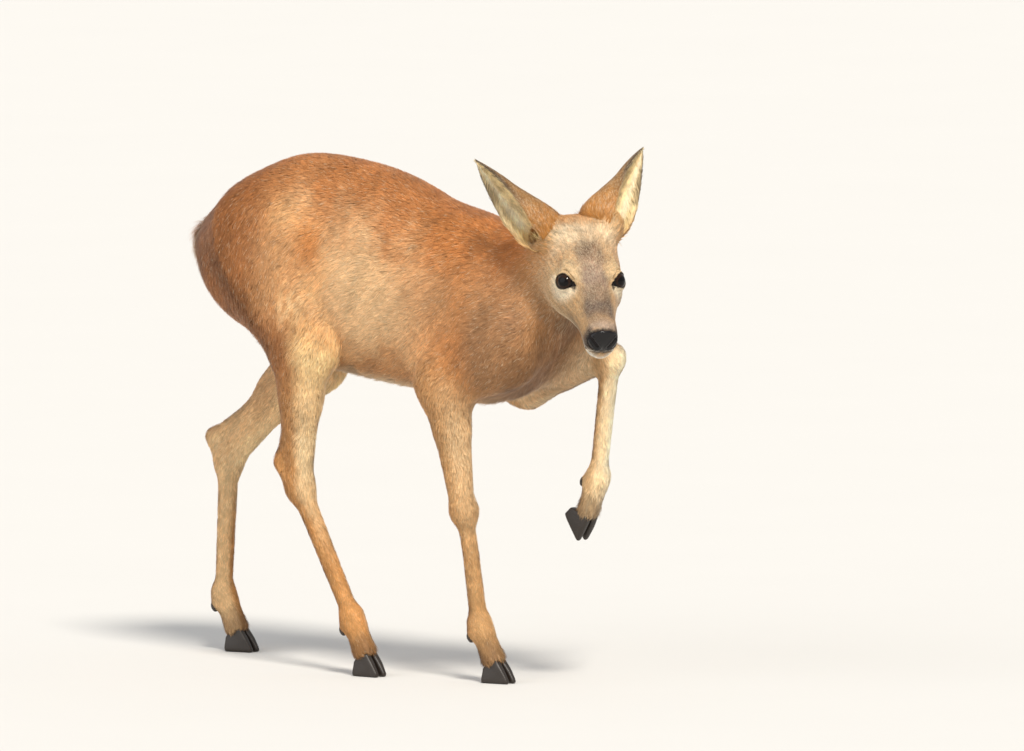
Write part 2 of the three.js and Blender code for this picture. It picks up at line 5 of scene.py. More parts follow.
import bmesh
import bpy
import numpy as np
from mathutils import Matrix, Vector


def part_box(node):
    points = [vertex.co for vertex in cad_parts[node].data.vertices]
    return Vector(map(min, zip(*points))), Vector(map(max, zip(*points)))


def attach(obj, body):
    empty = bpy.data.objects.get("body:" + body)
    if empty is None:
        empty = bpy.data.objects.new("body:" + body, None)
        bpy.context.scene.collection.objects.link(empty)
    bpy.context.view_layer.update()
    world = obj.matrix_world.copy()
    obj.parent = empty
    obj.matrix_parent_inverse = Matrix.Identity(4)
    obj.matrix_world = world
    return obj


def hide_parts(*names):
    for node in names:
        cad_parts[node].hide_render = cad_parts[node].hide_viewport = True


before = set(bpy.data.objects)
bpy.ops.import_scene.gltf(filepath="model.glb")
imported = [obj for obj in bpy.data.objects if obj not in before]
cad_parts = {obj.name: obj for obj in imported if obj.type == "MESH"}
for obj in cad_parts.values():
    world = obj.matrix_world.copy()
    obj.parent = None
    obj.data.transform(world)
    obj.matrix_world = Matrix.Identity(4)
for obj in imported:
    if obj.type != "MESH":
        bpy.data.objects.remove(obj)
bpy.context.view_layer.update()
chance = np.random.default_rng(20)
MM = 0.001


def place(ahead, left, height):
    """A place on the deer: ahead, to her left, and above the floor."""
    return np.array([left, -ahead, height], float)


def unit(v):
    v = np.asarray(v, float)
    return v / np.maximum(np.linalg.norm(v, axis=-1, keepdims=True), 1e-9)


def smoothstep(x, low, high):
    t = np.clip((x - low) / (high - low), 0, 1)
    return t * t * (3 - 2 * t)


def lerp(a, b, t):
    return a + (b - a) * t


# ---- The deer's measures, as in her solids ----
TRUNK = {
    "at": [-324, -270, -210, -140, -60, 20, 100, 170, 230, 290],
    "top": [584, 610, 646, 669, 667, 651, 620, 593, 572, 556],
    "bottom": [508, 472, 434, 408, 388, 378, 370, 364, 376, 408],
    "half": [38, 54, 70, 80, 81, 89, 87, 72, 60, 46],
    "round": [2.0, 1.9, 2.0, 2.2, 2.2, 2.2, 2.1, 2.0, 2.0, 2.0],
    "caps": (70, 70),
    "widest": 0.48,
}
HEAD = {
    "at": [-26, 12, 48, 80, 105, 130, 155, 180, 201],
    "top": [-9, 2, 8, 8, 5, 1, -1, -1, -4],
    "bottom": [-66, -86, -96, -94, -83, -70, -58, -53, -46],
    "half": [31, 40, 43, 43, 39, 31, 24, 22, 20],
    "round": [2.0, 2.1, 2.0, 1.75, 1.7, 1.85, 2.1, 2.3, 2.3],
    "caps": (30, 13),
    "widest": 0.45,
}
NECK = [
    (place(150, 0, 490), 96),
    (place(225, -4, 506), 74),
    (place(288, -18, 534), 59),
    (place(344, -40, 560), 50),
]
CROWN = place(363, -47, 613)
NOSE_TIP = place(479, -137.5, 477.4)
EYE = {"at": (93, 30.2, -19.5), "radius": 15, "looks": (0.5, 0.62, 0.6), "slant": 0.75}
# Lumps on the head: along, aside, up, half sizes, and how softly each joins.
LUMPS = [
    ((62, 30, -56), (38, 17, 27), 18),
    ((80, 26, -9), (18, 10, 9), 12),
    ((10, 32, -14), (20, 15, 18), 14),
    ((184, 0, -46), (17, 14, 9), 8),
]
# Where the root of each ear swells the head, told from its seat: up the ear and towards its mouth.
EAR_SWELL = {"up": 13, "towards": 17, "half": (19, 22, 22), "reach": 16}
# The naked nose: an egg on the end of her head.
NOSE = {"at": (199, 0, -18.5), "half": (15, 21.5, 15.5)}
EAR = {
    "long": 145,
    "half_wrap": 52,
    "roll_base": 2.45,
    "roll_tip": 1.25,
    "thick": 4.5,
    "rim": 2.2,
    "bow": 6,
    "root_to": 0.6,
}
# Each ear: its seat on the head, which way its tip and mouth point, and how thick the muscle at its root is.
EAR_LEANS = {
    "right": {
        "seat": (4.5, -29.5, -22.5),
        "tip": (-0.745, -0.645, 0.165),
        "mouth": (0.66, -0.75, 0.04),
        "root": 15,
    },
    "left": {
        "seat": (0, 15.5, -22.5),
        "tip": (-0.8, 0.565, 0.19),
        "mouth": (0.58, 0.67, 0.46),
        "root": 21,
    },
}
# The folds where thigh and shoulder meet the trunk.
FOLD_WIDE = 9
FOLD_DEEP = 2.6
TAIL = {"at": place(-316, 0, 548), "half": (11, 11, 22)}
FORELEGS = {
    "right": dict(
        side=-1,
        shoulder=place(236, -58, 446),
        elbow=place(152, -70, 390),
        muscle=place(160, -65, 334),
        knee=place(168, -50, 224),
        fetlock=place(172, -24, 76),
        coronet=place(195, -21, 27),
    ),
    "left": dict(
        side=1,
        shoulder=place(244, 58, 452),
        elbow=place(172, 72, 392),
        muscle=place(232, 68, 406),
        knee=place(322, 61, 424),
        fetlock=place(302, 60, 268),
        coronet=place(284, 60, 221),
    ),
}
HINDLEGS = {
    "right": dict(
        side=-1,
        hip=place(-181, -54, 539),
        stifle=place(-86, -77, 434),
        muscle=place(-90, -72, 360),
        hock=place(-98, -65, 240),
        heel=place(-127, -65, 272),
        fetlock=place(-14, -60, 76),
        coronet=place(10, -60, 27),
    ),
    "left": dict(
        side=1,
        hip=place(-190, 54, 539),
        stifle=place(-192, 76, 400),
        muscle=place(-250, 72, 345),
        hock=place(-334, 68, 252),
        heel=place(-358, 68, 282),
        fetlock=place(-352, 78, 76),
        coronet=place(-328, 79, 27),
    ),
}
for leg in FORELEGS.values():
    leg["blade"] = place(140, leg["side"] * 34, 548)
for leg in HINDLEGS.values():
    leg["rump"] = place(-212, leg["side"] * 38, 522)
ALL_LEGS = [*FORELEGS.values(), *HINDLEGS.values()]
FORE_LINE = ("blade", "shoulder", "elbow", "muscle", "knee", "fetlock", "coronet")
HIND_LINE = ("rump", "hip", "stifle", "muscle", "hock", "fetlock", "coronet")


def leg_of(name):
    """The leg that a part is on, from a name that starts like right_fore."""
    side, where = name.split("_")[:2]
    return (FORELEGS if where == "fore" else HINDLEGS)[side]


def leg_line(name):
    """The middle line of a leg, from the top down."""
    line = FORE_LINE if "fore" in name else HIND_LINE
    return [leg_of(name)[spot] for spot in line]


# ---- The head's own frame: along from crown to nose, to her left, and up from the bridge ----
head_along = unit(NOSE_TIP - CROWN)
head_left = unit(np.cross([0, 0, 1], head_along))
head_up = np.cross(head_along, head_left)
HEAD_AXES = np.stack([head_along, head_left, head_up], 1)


def on_head(spots):
    return CROWN + np.asarray(spots, float) @ HEAD_AXES.T


def to_head(points):
    return (points - CROWN) @ HEAD_AXES


def mirror(h):
    """Both sides of the head as one."""
    return np.stack([h[:, 0], np.abs(h[:, 1]), h[:, 2]], 1)


# The solids stand on the middle of their own box, so an eye tells how far they were moved.
eye_low, eye_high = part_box("right_eye")
SHIFT = np.array((eye_low + eye_high) / 2) / MM - on_head(np.array(EYE["at"]) * (1, -1, 1))


def to_frame(points):
    return (np.asarray(points) + SHIFT) * MM


def from_frame(points):
    return np.asarray(points) / MM - SHIFT


# ---- Signed distances, in millimetres: below zero is inside the animal ----
def join(a, b, reach):
    near = np.maximum(reach - np.abs(a - b), 0) / reach
    return np.minimum(a, b) - near * near * reach / 4


def carve(a, b, reach):
    """What of a lies outside b, with a rounded edge."""
    return -join(-a, b, reach)


def rod(p, start, end, start_radius, end_radius, flat=1.0):
    axis = end - start
    away = p - start
    share = np.clip(away @ axis / (axis @ axis), 0, 1)
    away = away - share[:, None] * axis
    away[:, 0] /= flat
    return (np.linalg.norm(away, axis=1) - lerp(start_radius, end_radius, share)) * min(flat, 1)


def ball(p, middle, radius, flat=1.0):
    away = p - middle
    away[:, 0] /= flat
    return (np.linalg.norm(away, axis=1) - radius) * min(flat, 1)


def egg(p, half):
    return (np.linalg.norm(p / np.array(half), axis=1) - 1) * min(half)


def between(stations, key, at):
    """A smooth value between stations."""
    x, y = np.array(stations["at"], float), np.array(stations[key], float)
    last = len(x) - 1
    i = np.clip(np.searchsorted(x, at) - 1, 0, last - 1)
    before, after = np.maximum(i - 1, 0), np.minimum(i + 2, last)
    step = x[i + 1] - x[i]
    s = np.clip((at - x[i]) / step, 0, 1)
    slope_a = (y[i + 1] - y[before]) / (x[i + 1] - x[before]) * step
    slope_b = (y[after] - y[i]) / (x[after] - x[i]) * step
    s2, s3 = s * s, s * s * s
    return (
        (2 * s3 - 3 * s2 + 1) * y[i]
        + (s3 - 2 * s2 + s) * slope_a
        + (3 * s2 - 2 * s3) * y[i + 1]
        + (s3 - s2) * slope_b
    )


def sections(along, aside, height, stations):
    """Rounded sections that close like an egg over the caps at both ends."""
    top, bottom, half, full = (between(stations, key, along) for key in ("top", "bottom", "half", "round"))
    middle = lerp(bottom, top, stations["widest"])
    rise = np.where(height > middle, top - middle, middle - bottom)
    spread = (np.abs(aside) / half) ** full + (np.abs(height - middle) / rise) ** full
    back, front = stations["caps"]
    start, end = stations["at"][0], stations["at"][-1]
    past = np.maximum(np.maximum((start + back - along) / back, (along - end + front) / front), 0)
    return ((spread + past**full) ** (1 / full) - 1) * np.minimum(half, rise)


def head_shape(p):
    """The head without its lids and mouth."""
    h = to_head(p)
    distance = sections(h[:, 0], h[:, 1], h[:, 2], HEAD)
    for spot, half, reach in LUMPS:
        distance = join(distance, egg(mirror(h) - np.array(spot), half), reach)
    return distance


def trunk_shape(p):
    return sections(-p[:, 1], p[:, 0], p[:, 2], TRUNK)


def neck_shape(p):
    rods = [rod(p, a, b, ra, rb, 0.8) for (a, ra), (b, rb) in zip(NECK, NECK[1:])]
    return np.minimum.reduce(rods)


def foot_shape(p, leg):
    joint = rod(p, leg["fetlock"], lerp(leg["fetlock"], leg["coronet"], 0.2), 16.5, 15.5)
    return join(joint, rod(p, leg["fetlock"], leg["coronet"], 13.5, 16.5), 8)


def foreleg_shapes(p, leg):
    """The upper arm, all below the elbow, and how softly the two join."""
    upper = rod(p, leg["blade"], leg["shoulder"], 38, 56, 0.7)
    upper = join(upper, rod(p, leg["shoulder"], leg["elbow"], 54, 38, 0.72), 26)
    lower = rod(p, leg["elbow"], leg["muscle"], 42, 27, 0.8)
    lower = join(lower, rod(p, leg["muscle"], leg["knee"], 26, 17.5, 0.9), 10)
    lower = join(lower, ball(p, leg["knee"], 19.5, 0.95), 10)
    lower = join(lower, rod(p, leg["knee"], leg["fetlock"], 13, 11.6), 12)
    return upper, join(lower, foot_shape(p, leg), 8), 16


def hindleg_shapes(p, leg):
    """The thigh, all below it, and how softly the two join."""
    calf = lerp(leg["muscle"], leg["heel"], 0.3)
    upper = rod(p, leg["rump"], leg["hip"], 56, 75, 0.56)
    upper = join(upper, rod(p, leg["hip"], leg["stifle"], 77, 52, 0.56), 30)
    upper = join(upper, rod(p, leg["stifle"], leg["muscle"], 43, 31, 0.66), 20)
    lower = rod(p, leg["muscle"], leg["hock"], 28, 17, 0.8)
    lower = join(lower, rod(p, calf, leg["heel"], 13, 10.5), 14)
    lower = join(lower, rod(p, leg["heel"], leg["hock"], 11.5, 20, 0.85), 12)
    lower = join(lower, rod(p, leg["hock"], leg["fetlock"], 14.5, 12, 0.9), 12)
    return upper, join(lower, foot_shape(p, leg), 8), 16


def body_parts(p):
    """Distance to each part of the body by name, and to the whole with its fillets."""
    parts = {"trunk": trunk_shape(p), "neck": neck_shape(p), "head": head_shape(p)}
    whole = join(parts["trunk"], parts["neck"], 46)
    whole = join(whole, parts["head"], 22)
    pairs = ((FORELEGS, foreleg_shapes, "fore", 26), (HINDLEGS, hindleg_shapes, "hind", 30))
    for legs, shapes, where, reach in pairs:
        for side, leg in legs.items():
            upper, lower, knit = shapes(p, leg)
            parts[f"{side}_{where}_upper"] = upper
            parts[f"{side}_{where}_lower"] = lower
            fold = np.exp(-(((upper - parts["trunk"]) / FOLD_WIDE) ** 2))
            if where == "hind":
                fold *= smoothstep(-p[:, 1], -215, -170) * smoothstep(-p[:, 2], -590, -520)
            else:
                fold *= smoothstep(-p[:, 2], -540, -470)
            whole = join(whole, join(upper, lower, knit), reach)
            whole += FOLD_DEEP * fold * smoothstep(leg["side"] * p[:, 0], 30, 50)
    whole = join(whole, egg(p - TAIL["at"], TAIL["half"]), 14)
    return parts, whole


# ---- Lids, mouth and tear line ----
# An eye's opening as turns about its middle, and the lids' thickness, how deep they open and their fold.
LID = {"wide": 1.08, "above": 0.64, "below": 0.64, "taper": 0.25, "thick": 1.4, "sunk": 1.2, "fold": 5.0}
# The line of the mouth from the middle of the lips to its corner.
MOUTH = [(200.5, 0, -37.5), (198, 9, -37.5), (191, 17.5, -38), (180, 20.5, -40), (164, 21.5, -45)]
HOLLOW_BY_EYE = 1.5
LIP_GROOVE = 1.2

# Where an eye looks, and the long and short ways of its opening, for both sides as one.
eye_looks = unit(EYE["looks"])
eye_ahead = unit(np.array([1, 0, 0]) - eye_looks[0] * eye_looks)
eye_above = np.cross(eye_ahead, eye_looks)
eye_long = eye_ahead * math.cos(EYE["slant"]) + eye_above * math.sin(EYE["slant"])
eye_short = eye_above * math.cos(EYE["slant"]) - eye_ahead * math.sin(EYE["slant"])
front_corner = np.array(EYE["at"]) + EYE["radius"] * (
    math.sin(LID["wide"]) * eye_long + math.cos(LID["wide"]) * eye_looks
)
TEAR_LINE = [front_corner, front_corner + np.array([4, 0.2, -0.8]), front_corner + np.array([9, -0.6, -2.5])]


def middle_of(name):
    low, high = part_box(name)
    return from_frame((np.array(low) + np.array(high)) / 2)


# The flesh swells round each dewclaw, on the side where it grows from the pastern.
DEWCLAW_SWELL = 6.2
DEWCLAWS = [
    lerp(middle_of(name), leg_of(name)["fetlock"], 0.22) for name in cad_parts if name.endswith("dewclaw")
]


def eye_angles(h):
    """How far from an eye's middle, the turns along and across its opening, and how far outside that."""
    q = mirror(h) - np.array(EYE["at"])
    far = np.linalg.norm(q, axis=1)
    turn, rise = np.arctan2(q @ eye_long, q @ eye_looks), np.arctan2(q @ eye_short, q @ eye_looks)
    high = np.where(rise > 0, LID["above"], LID["below"])
    high = high * (1 - LID["taper"] * np.clip(turn / LID["wide"], -1, 1))
    almond = (np.sqrt((turn / LID["wide"]) ** 2 + (rise / high) ** 2) - 1) * LID["below"] * far
    return far, turn, rise, almond


def lids(h):
    """The lids' outer ball, the almond that opens in them down into the eye, and the fold above."""
    far, _, rise, almond = eye_angles(h)
    outer = far - EYE["radius"] - LID["thick"]
    opening = np.maximum(almond, EYE["radius"] - LID["sunk"] - far)
    fold = np.hypot(almond - LID["fold"], outer - 0.6) - 1.1 + 8 * smoothstep(-rise, -0.35, 0.1)
    return outer, opening, fold


def groove(h, spots, radius):
    """A round groove through spots told as (along, aside, up), the same on both sides."""
    spots = np.array(spots, float)
    return np.minimum.reduce([rod(mirror(h), a, b, radius, radius) for a, b in zip(spots, spots[1:])])


def ear_axes(lean):
    """Up an ear, out of its mouth, and across it, in the head's own frame."""
    up_ear = unit(lean["tip"])
    mouth = np.array(lean["mouth"])
    mouth = unit(mouth - up_ear * (mouth @ up_ear))
    return up_ear, mouth, np.cross(up_ear, mouth)


def ear_swell_middle(lean):
    up_ear, mouth, _ = ear_axes(lean)
    return np.array(lean["seat"]) + EAR_SWELL["up"] * up_ear + EAR_SWELL["towards"] * mouth


# A ball on the head round all that only the head has, so that the rest of her isn't asked about it.
HEAD_BALL = {"middle": (120, 0, -30), "radius": 150}


def skin_shape(p):
    """The distance to each part, and to the whole animal with lids, mouth and the hollows before the eyes."""
    parts, whole = body_parts(p)
    h = to_head(p)
    near_head = np.linalg.norm(h - np.array(HEAD_BALL["middle"]), axis=1) < HEAD_BALL["radius"]
    hn, wn = h[near_head], whole[near_head]
    outer, opening, fold = lids(hn)
    for lean in EAR_LEANS.values():
        swell = egg((hn - ear_swell_middle(lean)) @ np.stack(ear_axes(lean), 1), EAR_SWELL["half"])
        wn = join(wn, swell, EAR_SWELL["reach"])
    wn = join(wn, outer, 5)
    wn = carve(wn, fold, 1.6)
    wn = carve(wn, groove(hn, TEAR_LINE, HOLLOW_BY_EYE), 3)
    wn = carve(wn, opening, 1.8)
    wn = carve(wn, groove(hn, MOUTH, LIP_GROOVE), 2.0)
    whole[near_head] = wn
    for middle in DEWCLAWS:
        near = np.linalg.norm(p - middle, axis=1) < 30
        whole[near] = join(whole[near], ball(p[near], middle, DEWCLAW_SWELL), 9)
    for leg in ALL_LEGS:
        down = unit(leg["coronet"] - leg["fetlock"])
        past = (p - leg["coronet"]) @ down
        near = np.linalg.norm(p - leg["coronet"], axis=1) < 45
        whole[near] = carve(whole[near], 1.5 - past[near], 5)
    return parts, whole


def slope(p, here, step=0.4):
    """The way out of the animal at each point, times how fast the distance grows."""
    return np.stack([skin_shape(p + step * axis)[1] - here for axis in np.eye(3)], 1) / step


def settle(p, rounds, most=2.5):
    """Moves points onto the animal's surface."""
    for _ in range(rounds):
        here = skin_shape(p)[1]
        g = slope(p, here)
        fast = np.maximum((g * g).sum(1), 0.05)
        p = p - g * np.clip(here / fast, -most, most)[:, None]
    return p


# ---- Where the coat is long or short, told by shares of each part ----
LOWER_LEGS = [f"{side}_{where}_lower" for side in ("right", "left") for where in ("fore", "hind")]
UPPER_LEGS = [name.replace("lower", "upper") for name in LOWER_LEGS]


def part_shares(parts, soft=12.0):
    """How much each place belongs to each part, in shares that add up to 1."""
    d = np.stack(list(parts.values()), 1)
    w = np.exp(-(d - d.min(1, keepdims=True)) / soft)
    w /= w.sum(1, keepdims=True)
    return dict(zip(parts, w.T))


def coat_depth(p, shares):
    """How far the skin lies under the coat's outer face."""
    h = to_head(p)
    low = sum(shares[n] for n in LOWER_LEGS)
    depth = 4.2 - 2.4 * low - 0.8 * smoothstep(-p[:, 2], -200, -60) * low
    face = shares["head"] * smoothstep(h[:, 0], -20, 60)
    depth = lerp(depth, 2.2 - 1.2 * smoothstep(h[:, 0], 90, 170), face)
    eye = np.linalg.norm(mirror(h) - np.array(EYE["at"]), axis=1)
    depth = lerp(0.3, depth, smoothstep(eye, 16, 26))
    rump = smoothstep(p[:, 1], 285, 320) * smoothstep(p[:, 2], 440, 500)
    return depth + 2.5 * rump


# ---- Meshes ----
CLAWS = [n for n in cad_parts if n.endswith("claw")]
EARS = ["right_ear", "left_ear"]
FLESH = [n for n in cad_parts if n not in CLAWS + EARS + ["right_eye", "left_eye", "nose_pad"]]
FILLING = ["right_eye", "left_eye", "nose_pad"] + [n for n in CLAWS if n.endswith("dewclaw")]
VOXEL = 0.0037
HIDE_SWELL = 0.0006
WELD = 1e-6


def points_of(mesh):
    co = np.empty(len(mesh.vertices) * 3, np.float32)
    mesh.vertices.foreach_get("co", co)
    return co.reshape(-1, 3).astype(float)


def build_mesh(name, points, faces):
    """A mesh from places in metres and faces that all have the same number of corners."""
    mesh = bpy.data.meshes.new(name)
    count, corners = faces.shape
    mesh.vertices.add(len(points))
    mesh.vertices.foreach_set("co", np.asarray(points, np.float32).ravel())
    mesh.loops.add(count * corners)
    mesh.loops.foreach_set("vertex_index", np.asarray(faces, np.int32).ravel())
    mesh.polygons.add(count)
    mesh.polygons.foreach_set("loop_start", np.arange(0, count * corners, corners, dtype=np.int32))
    mesh.polygons.foreach_set("use_smooth", np.ones(count, bool))
    mesh.update(calc_edges=True)
    return mesh


def show(name, mesh):
    thing = bpy.data.objects.new(name, mesh)
    bpy.context.scene.collection.objects.link(thing)
    return thing


def even_facets(mesh, voxel, worn_rounds=0):
    """A mesh remade in even facets, and worn smooth in so many rounds."""
    thing = show("rough", mesh)
    even = thing.modifiers.new("even", "REMESH")
    even.mode, even.voxel_size = "VOXEL", voxel
    if worn_rounds:
        worn = thing.modifiers.new("worn", "SMOOTH")
        worn.factor, worn.iterations = 0.5, worn_rounds
    made = bpy.data.meshes.new_from_object(thing.evaluated_get(bpy.context.evaluated_depsgraph_get()))
    bpy.data.objects.remove(thing)
    return made


def one_hide(names):
    """The named solids as one closed mesh, evenly faceted."""
    whole = bmesh.new()
    for name in names:
        whole.from_mesh(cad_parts[name].data)
    bmesh.ops.remove_doubles(whole, verts=whole.verts, dist=WELD)
    whole.normal_update()
    spots = [v.co + v.normal * HIDE_SWELL for v in whole.verts]
    for v, spot in zip(whole.verts, spots):
        v.co = spot
    mesh = bpy.data.meshes.new("hide")
    whole.to_mesh(mesh)
    whole.free()
    return even_facets(mesh, VOXEL)


def refine(mesh, near):
    """Quarters the faces whose middle is picked by near, a test on places in the deer's measures."""
    bm = bmesh.new()
    bm.from_mesh(mesh)
    middles = from_frame(np.array([f.calc_center_median()[:] for f in bm.faces]))
    picked = near(middles)
    edges = {e for f, yes in zip(bm.faces, picked) if yes for e in f.edges}
    bmesh.ops.subdivide_edges(bm, edges=list(edges), cuts=1, use_grid_fill=True)
    bm.to_mesh(mesh)
    bm.free()


# The stretch of the head with the fine shapes of the face, and how far round an eye the finest ones reach.
FACE_LOW, FACE_HIGH = (20, -60, -70), (225, 60, 40)
LIDS_FAR, LIDS_INWARD = 21, -6


def in_face(p):
    h = to_head(p)
    return ((h > FACE_LOW) & (h < FACE_HIGH)).all(1)


def around_eyes(p):
    q = mirror(to_head(p)) - np.array(EYE["at"])
    return (np.linalg.norm(q, axis=1) < LIDS_FAR) & (q[:, 1] > LIDS_INWARD)


def averaged(pairs, values, rounds):
    """Averages a value over each vertex's neighbours."""
    a, b = pairs
    count = np.bincount(a, minlength=len(values)) + np.bincount(b, minlength=len(values))
    for _ in range(rounds):
        sums = [
            np.bincount(a, values[b, k], len(values)) + np.bincount(b, values[a, k], len(values))
            for k in range(values.shape[1])
        ]
        values = np.stack(sums, 1) / count[:, None]
    return values


def triangles_of(mesh):
    mesh.calc_loop_triangles()
    faces = np.empty(len(mesh.loop_triangles) * 3, np.int32)
    mesh.loop_triangles.foreach_get("vertices", faces)
    return faces.reshape(-1, 3)


def make_body():
    """The body's outer face under the coat: places, ways out, and triangles."""
    mesh = one_hide(FLESH + FILLING)
    refine(mesh, in_face)
    refine(mesh, around_eyes)
    edges = np.empty(len(mesh.edges) * 2, np.int32)
    mesh.edges.foreach_get("vertices", edges)
    pairs = edges.reshape(-1, 2).T
    p = settle(from_frame(points_of(mesh)), 3)
    for rounds in (3, 2):
        slide = averaged(pairs, p, rounds) - p
        out = unit(slope(p, skin_shape(p)[1]))
        p = settle(p + slide - out * (slide * out).sum(1, keepdims=True), 1)
    parts, here = skin_shape(p)
    out = unit(slope(p, here))
    return p - out * here[:, None], out, triangles_of(mesh), parts, pairs


# ---- Ears ----
EAR_ROWS = 56
EAR_COLUMNS = 40
# How deep the skin lies under each face of an ear, as a share of its thickness, and where its ribs run.
FUR_OF_EAR = 0.15
EAR_FOLDS = (-0.42, -0.12, 0.2, 0.46)
FOLD_OF_EAR = {"wide": 0.06, "high": 1.1}


def ear_place(lean, share, turn, inner):
    """Places on an ear: share from base to tip, turn from rim to rim, inner 0 on its back, 1 in its mouth."""
    up, mouth, across = (way @ HEAD_AXES.T for way in ear_axes(lean))
    leaf = np.sin(np.pi * np.minimum(lerp(0.41, 1, share), 1)) ** 0.88
    root = lean["root"] * (1 - smoothstep(share, 0.05, EAR["root_to"]))
    roll = lerp(EAR["roll_base"], EAR["roll_tip"], share**0.6)
    radius = EAR["half_wrap"] * np.maximum(leaf, 0.05) / roll
    slim = lerp(1, 0.35, share**3)
    thick = slim * lerp(EAR["thick"], EAR["rim"], np.abs(turn) ** 3)
    folds = sum(np.exp(-(((turn - at) / FOLD_OF_EAR["wide"]) ** 2)) for at in EAR_FOLDS)
    folds = folds * smoothstep(share, 0.12, 0.3) * smoothstep(-share, -0.9, -0.6) * inner
    angle = roll * turn
    muscle = (1 - inner) * root * np.maximum(np.cos(angle * 0.75), 0) ** 1.5
    reach = radius - thick * lerp(FUR_OF_EAR, 1 - FUR_OF_EAR, inner) - FOLD_OF_EAR["high"] * folds + muscle
    depth = radius - reach * np.cos(angle) - EAR["bow"] * np.sin(np.pi * share)
    spot = on_head([lean["seat"]]) + (share * EAR["long"])[:, None] * up
    return spot + depth[:, None] * mouth + (reach * np.sin(angle))[:, None] * across


def ear_grid():
    """The grid of an ear: the share, turn and side of each of its vertices, and its triangles."""
    row = 1 - (1 - np.arange(EAR_ROWS + 1) / EAR_ROWS) ** 1.15
    column = np.linspace(-1, 1, EAR_COLUMNS + 1)
    share = np.tile(np.repeat(row, EAR_COLUMNS + 1), 2)
    turn = np.tile(np.tile(column, EAR_ROWS + 1), 2)
    inner = np.repeat([0.0, 1.0], len(share) // 2)
    wide, layer = EAR_COLUMNS + 1, (EAR_ROWS + 1) * (EAR_COLUMNS + 1)
    grid = (np.arange(EAR_ROWS)[:, None] * wide + np.arange(EAR_COLUMNS)).ravel()
    rows, columns = np.arange(EAR_ROWS) * wide, np.arange(EAR_COLUMNS)
    right, tip = rows + EAR_COLUMNS, EAR_ROWS * wide + columns
    quads = np.concatenate(
        [
            np.stack([grid, grid + 1, grid + wide + 1, grid + wide], 1),
            np.stack([grid, grid + wide, grid + wide + 1, grid + 1], 1) + layer,
            np.stack([rows, rows + wide, layer + rows + wide, layer + rows], 1),
            np.stack([right, layer + right, layer + right + wide, right + wide], 1),
            np.stack([columns, layer + columns, layer + columns + 1, columns + 1], 1),
            np.stack([tip, tip + 1, layer + tip + 1, layer + tip], 1),
        ]
    )
    return share, turn, inner, np.concatenate([quads[:, [0, 2, 1]], quads[:, [0, 3, 2]]])


def ways_out(points, faces):
    """The mean way out at each vertex."""
    a, b, c = (points[faces[:, k]] for k in range(3))
    flat = np.cross(b - a, c - a)
    out = np.zeros_like(points)
    for k in range(3):
        for axis in range(3):
            out[:, axis] += np.bincount(faces[:, k], flat[:, axis], len(points))
    return unit(out)


# ---- Tones of skin and coat ----
def tone(hexed):
    """A colour written as rrggbb, made linear."""
    level = np.array([int(hexed[i : i + 2], 16) for i in (0, 2, 4)]) / 255
    return np.where(level > 0.04045, ((level + 0.055) / 1.055) ** 2.4, level / 12.92)


def tint(colour, hexed, share):
    share = np.clip(share, 0, 1)[:, None]
    return colour * (1 - share) + tone(hexed) * share


def tinted(colour, layers):
    """A colour under layer after layer, each told as (rrggbb, share)."""
    for hexed, share in layers:
        colour = tint(colour, hexed, share)
    return colour


def waves(p, size, seed):
    """A smooth value that wanders about 0 over the body, with waves about size long."""
    draw = np.random.default_rng(seed)
    total = np.zeros(len(p))
    for _ in range(7):
        way = unit(draw.normal(size=3)) * draw.uniform(0.7, 1.6) / size
        total += np.sin(2 * np.pi * (p @ way) + draw.uniform(0, 2 * np.pi))
    return total / 2.6


def bump(x, middle, width):
    return np.exp(-(((x - middle) / width) ** 2))


# Lines on her side, told as (ahead, height): the ridge of the hip, where a painted highlight runs, and the line
# behind the thigh, where a painted shade runs.
HIP_RIDGE_HIGHLIGHT = [(-113, 605), (-56, 572), (-42, 528), (-70, 485), (-34, 446)]
THIGH_SHADE = [(-222, 535), (-172, 480), (-132, 430), (-120, 370)]
HIP_PATCH = {"at": (-64, 562), "wide": 26, "high": 38}
STIFLE_SPOTS = {"at": (-84, 487), "wide": 24, "high": 22}
SHOULDER_PATCH = {"at": (164, 432), "wide": 48, "high": 38}


def stripe(ahead, height, line, width):
    """1 on a line on her side, falling away over its width."""
    p = np.stack([ahead, height, 0 * ahead], 1)
    spots = [np.array([*spot, 0], float) for spot in line]
    return bump(np.minimum.reduce([rod(p, a, b, 0, 0) for a, b in zip(spots, spots[1:])]), 0, width)


def patch(ahead, height, at):
    return bump(ahead, at["at"][0], at["wide"]) * bump(height, at["at"][1], at["high"])


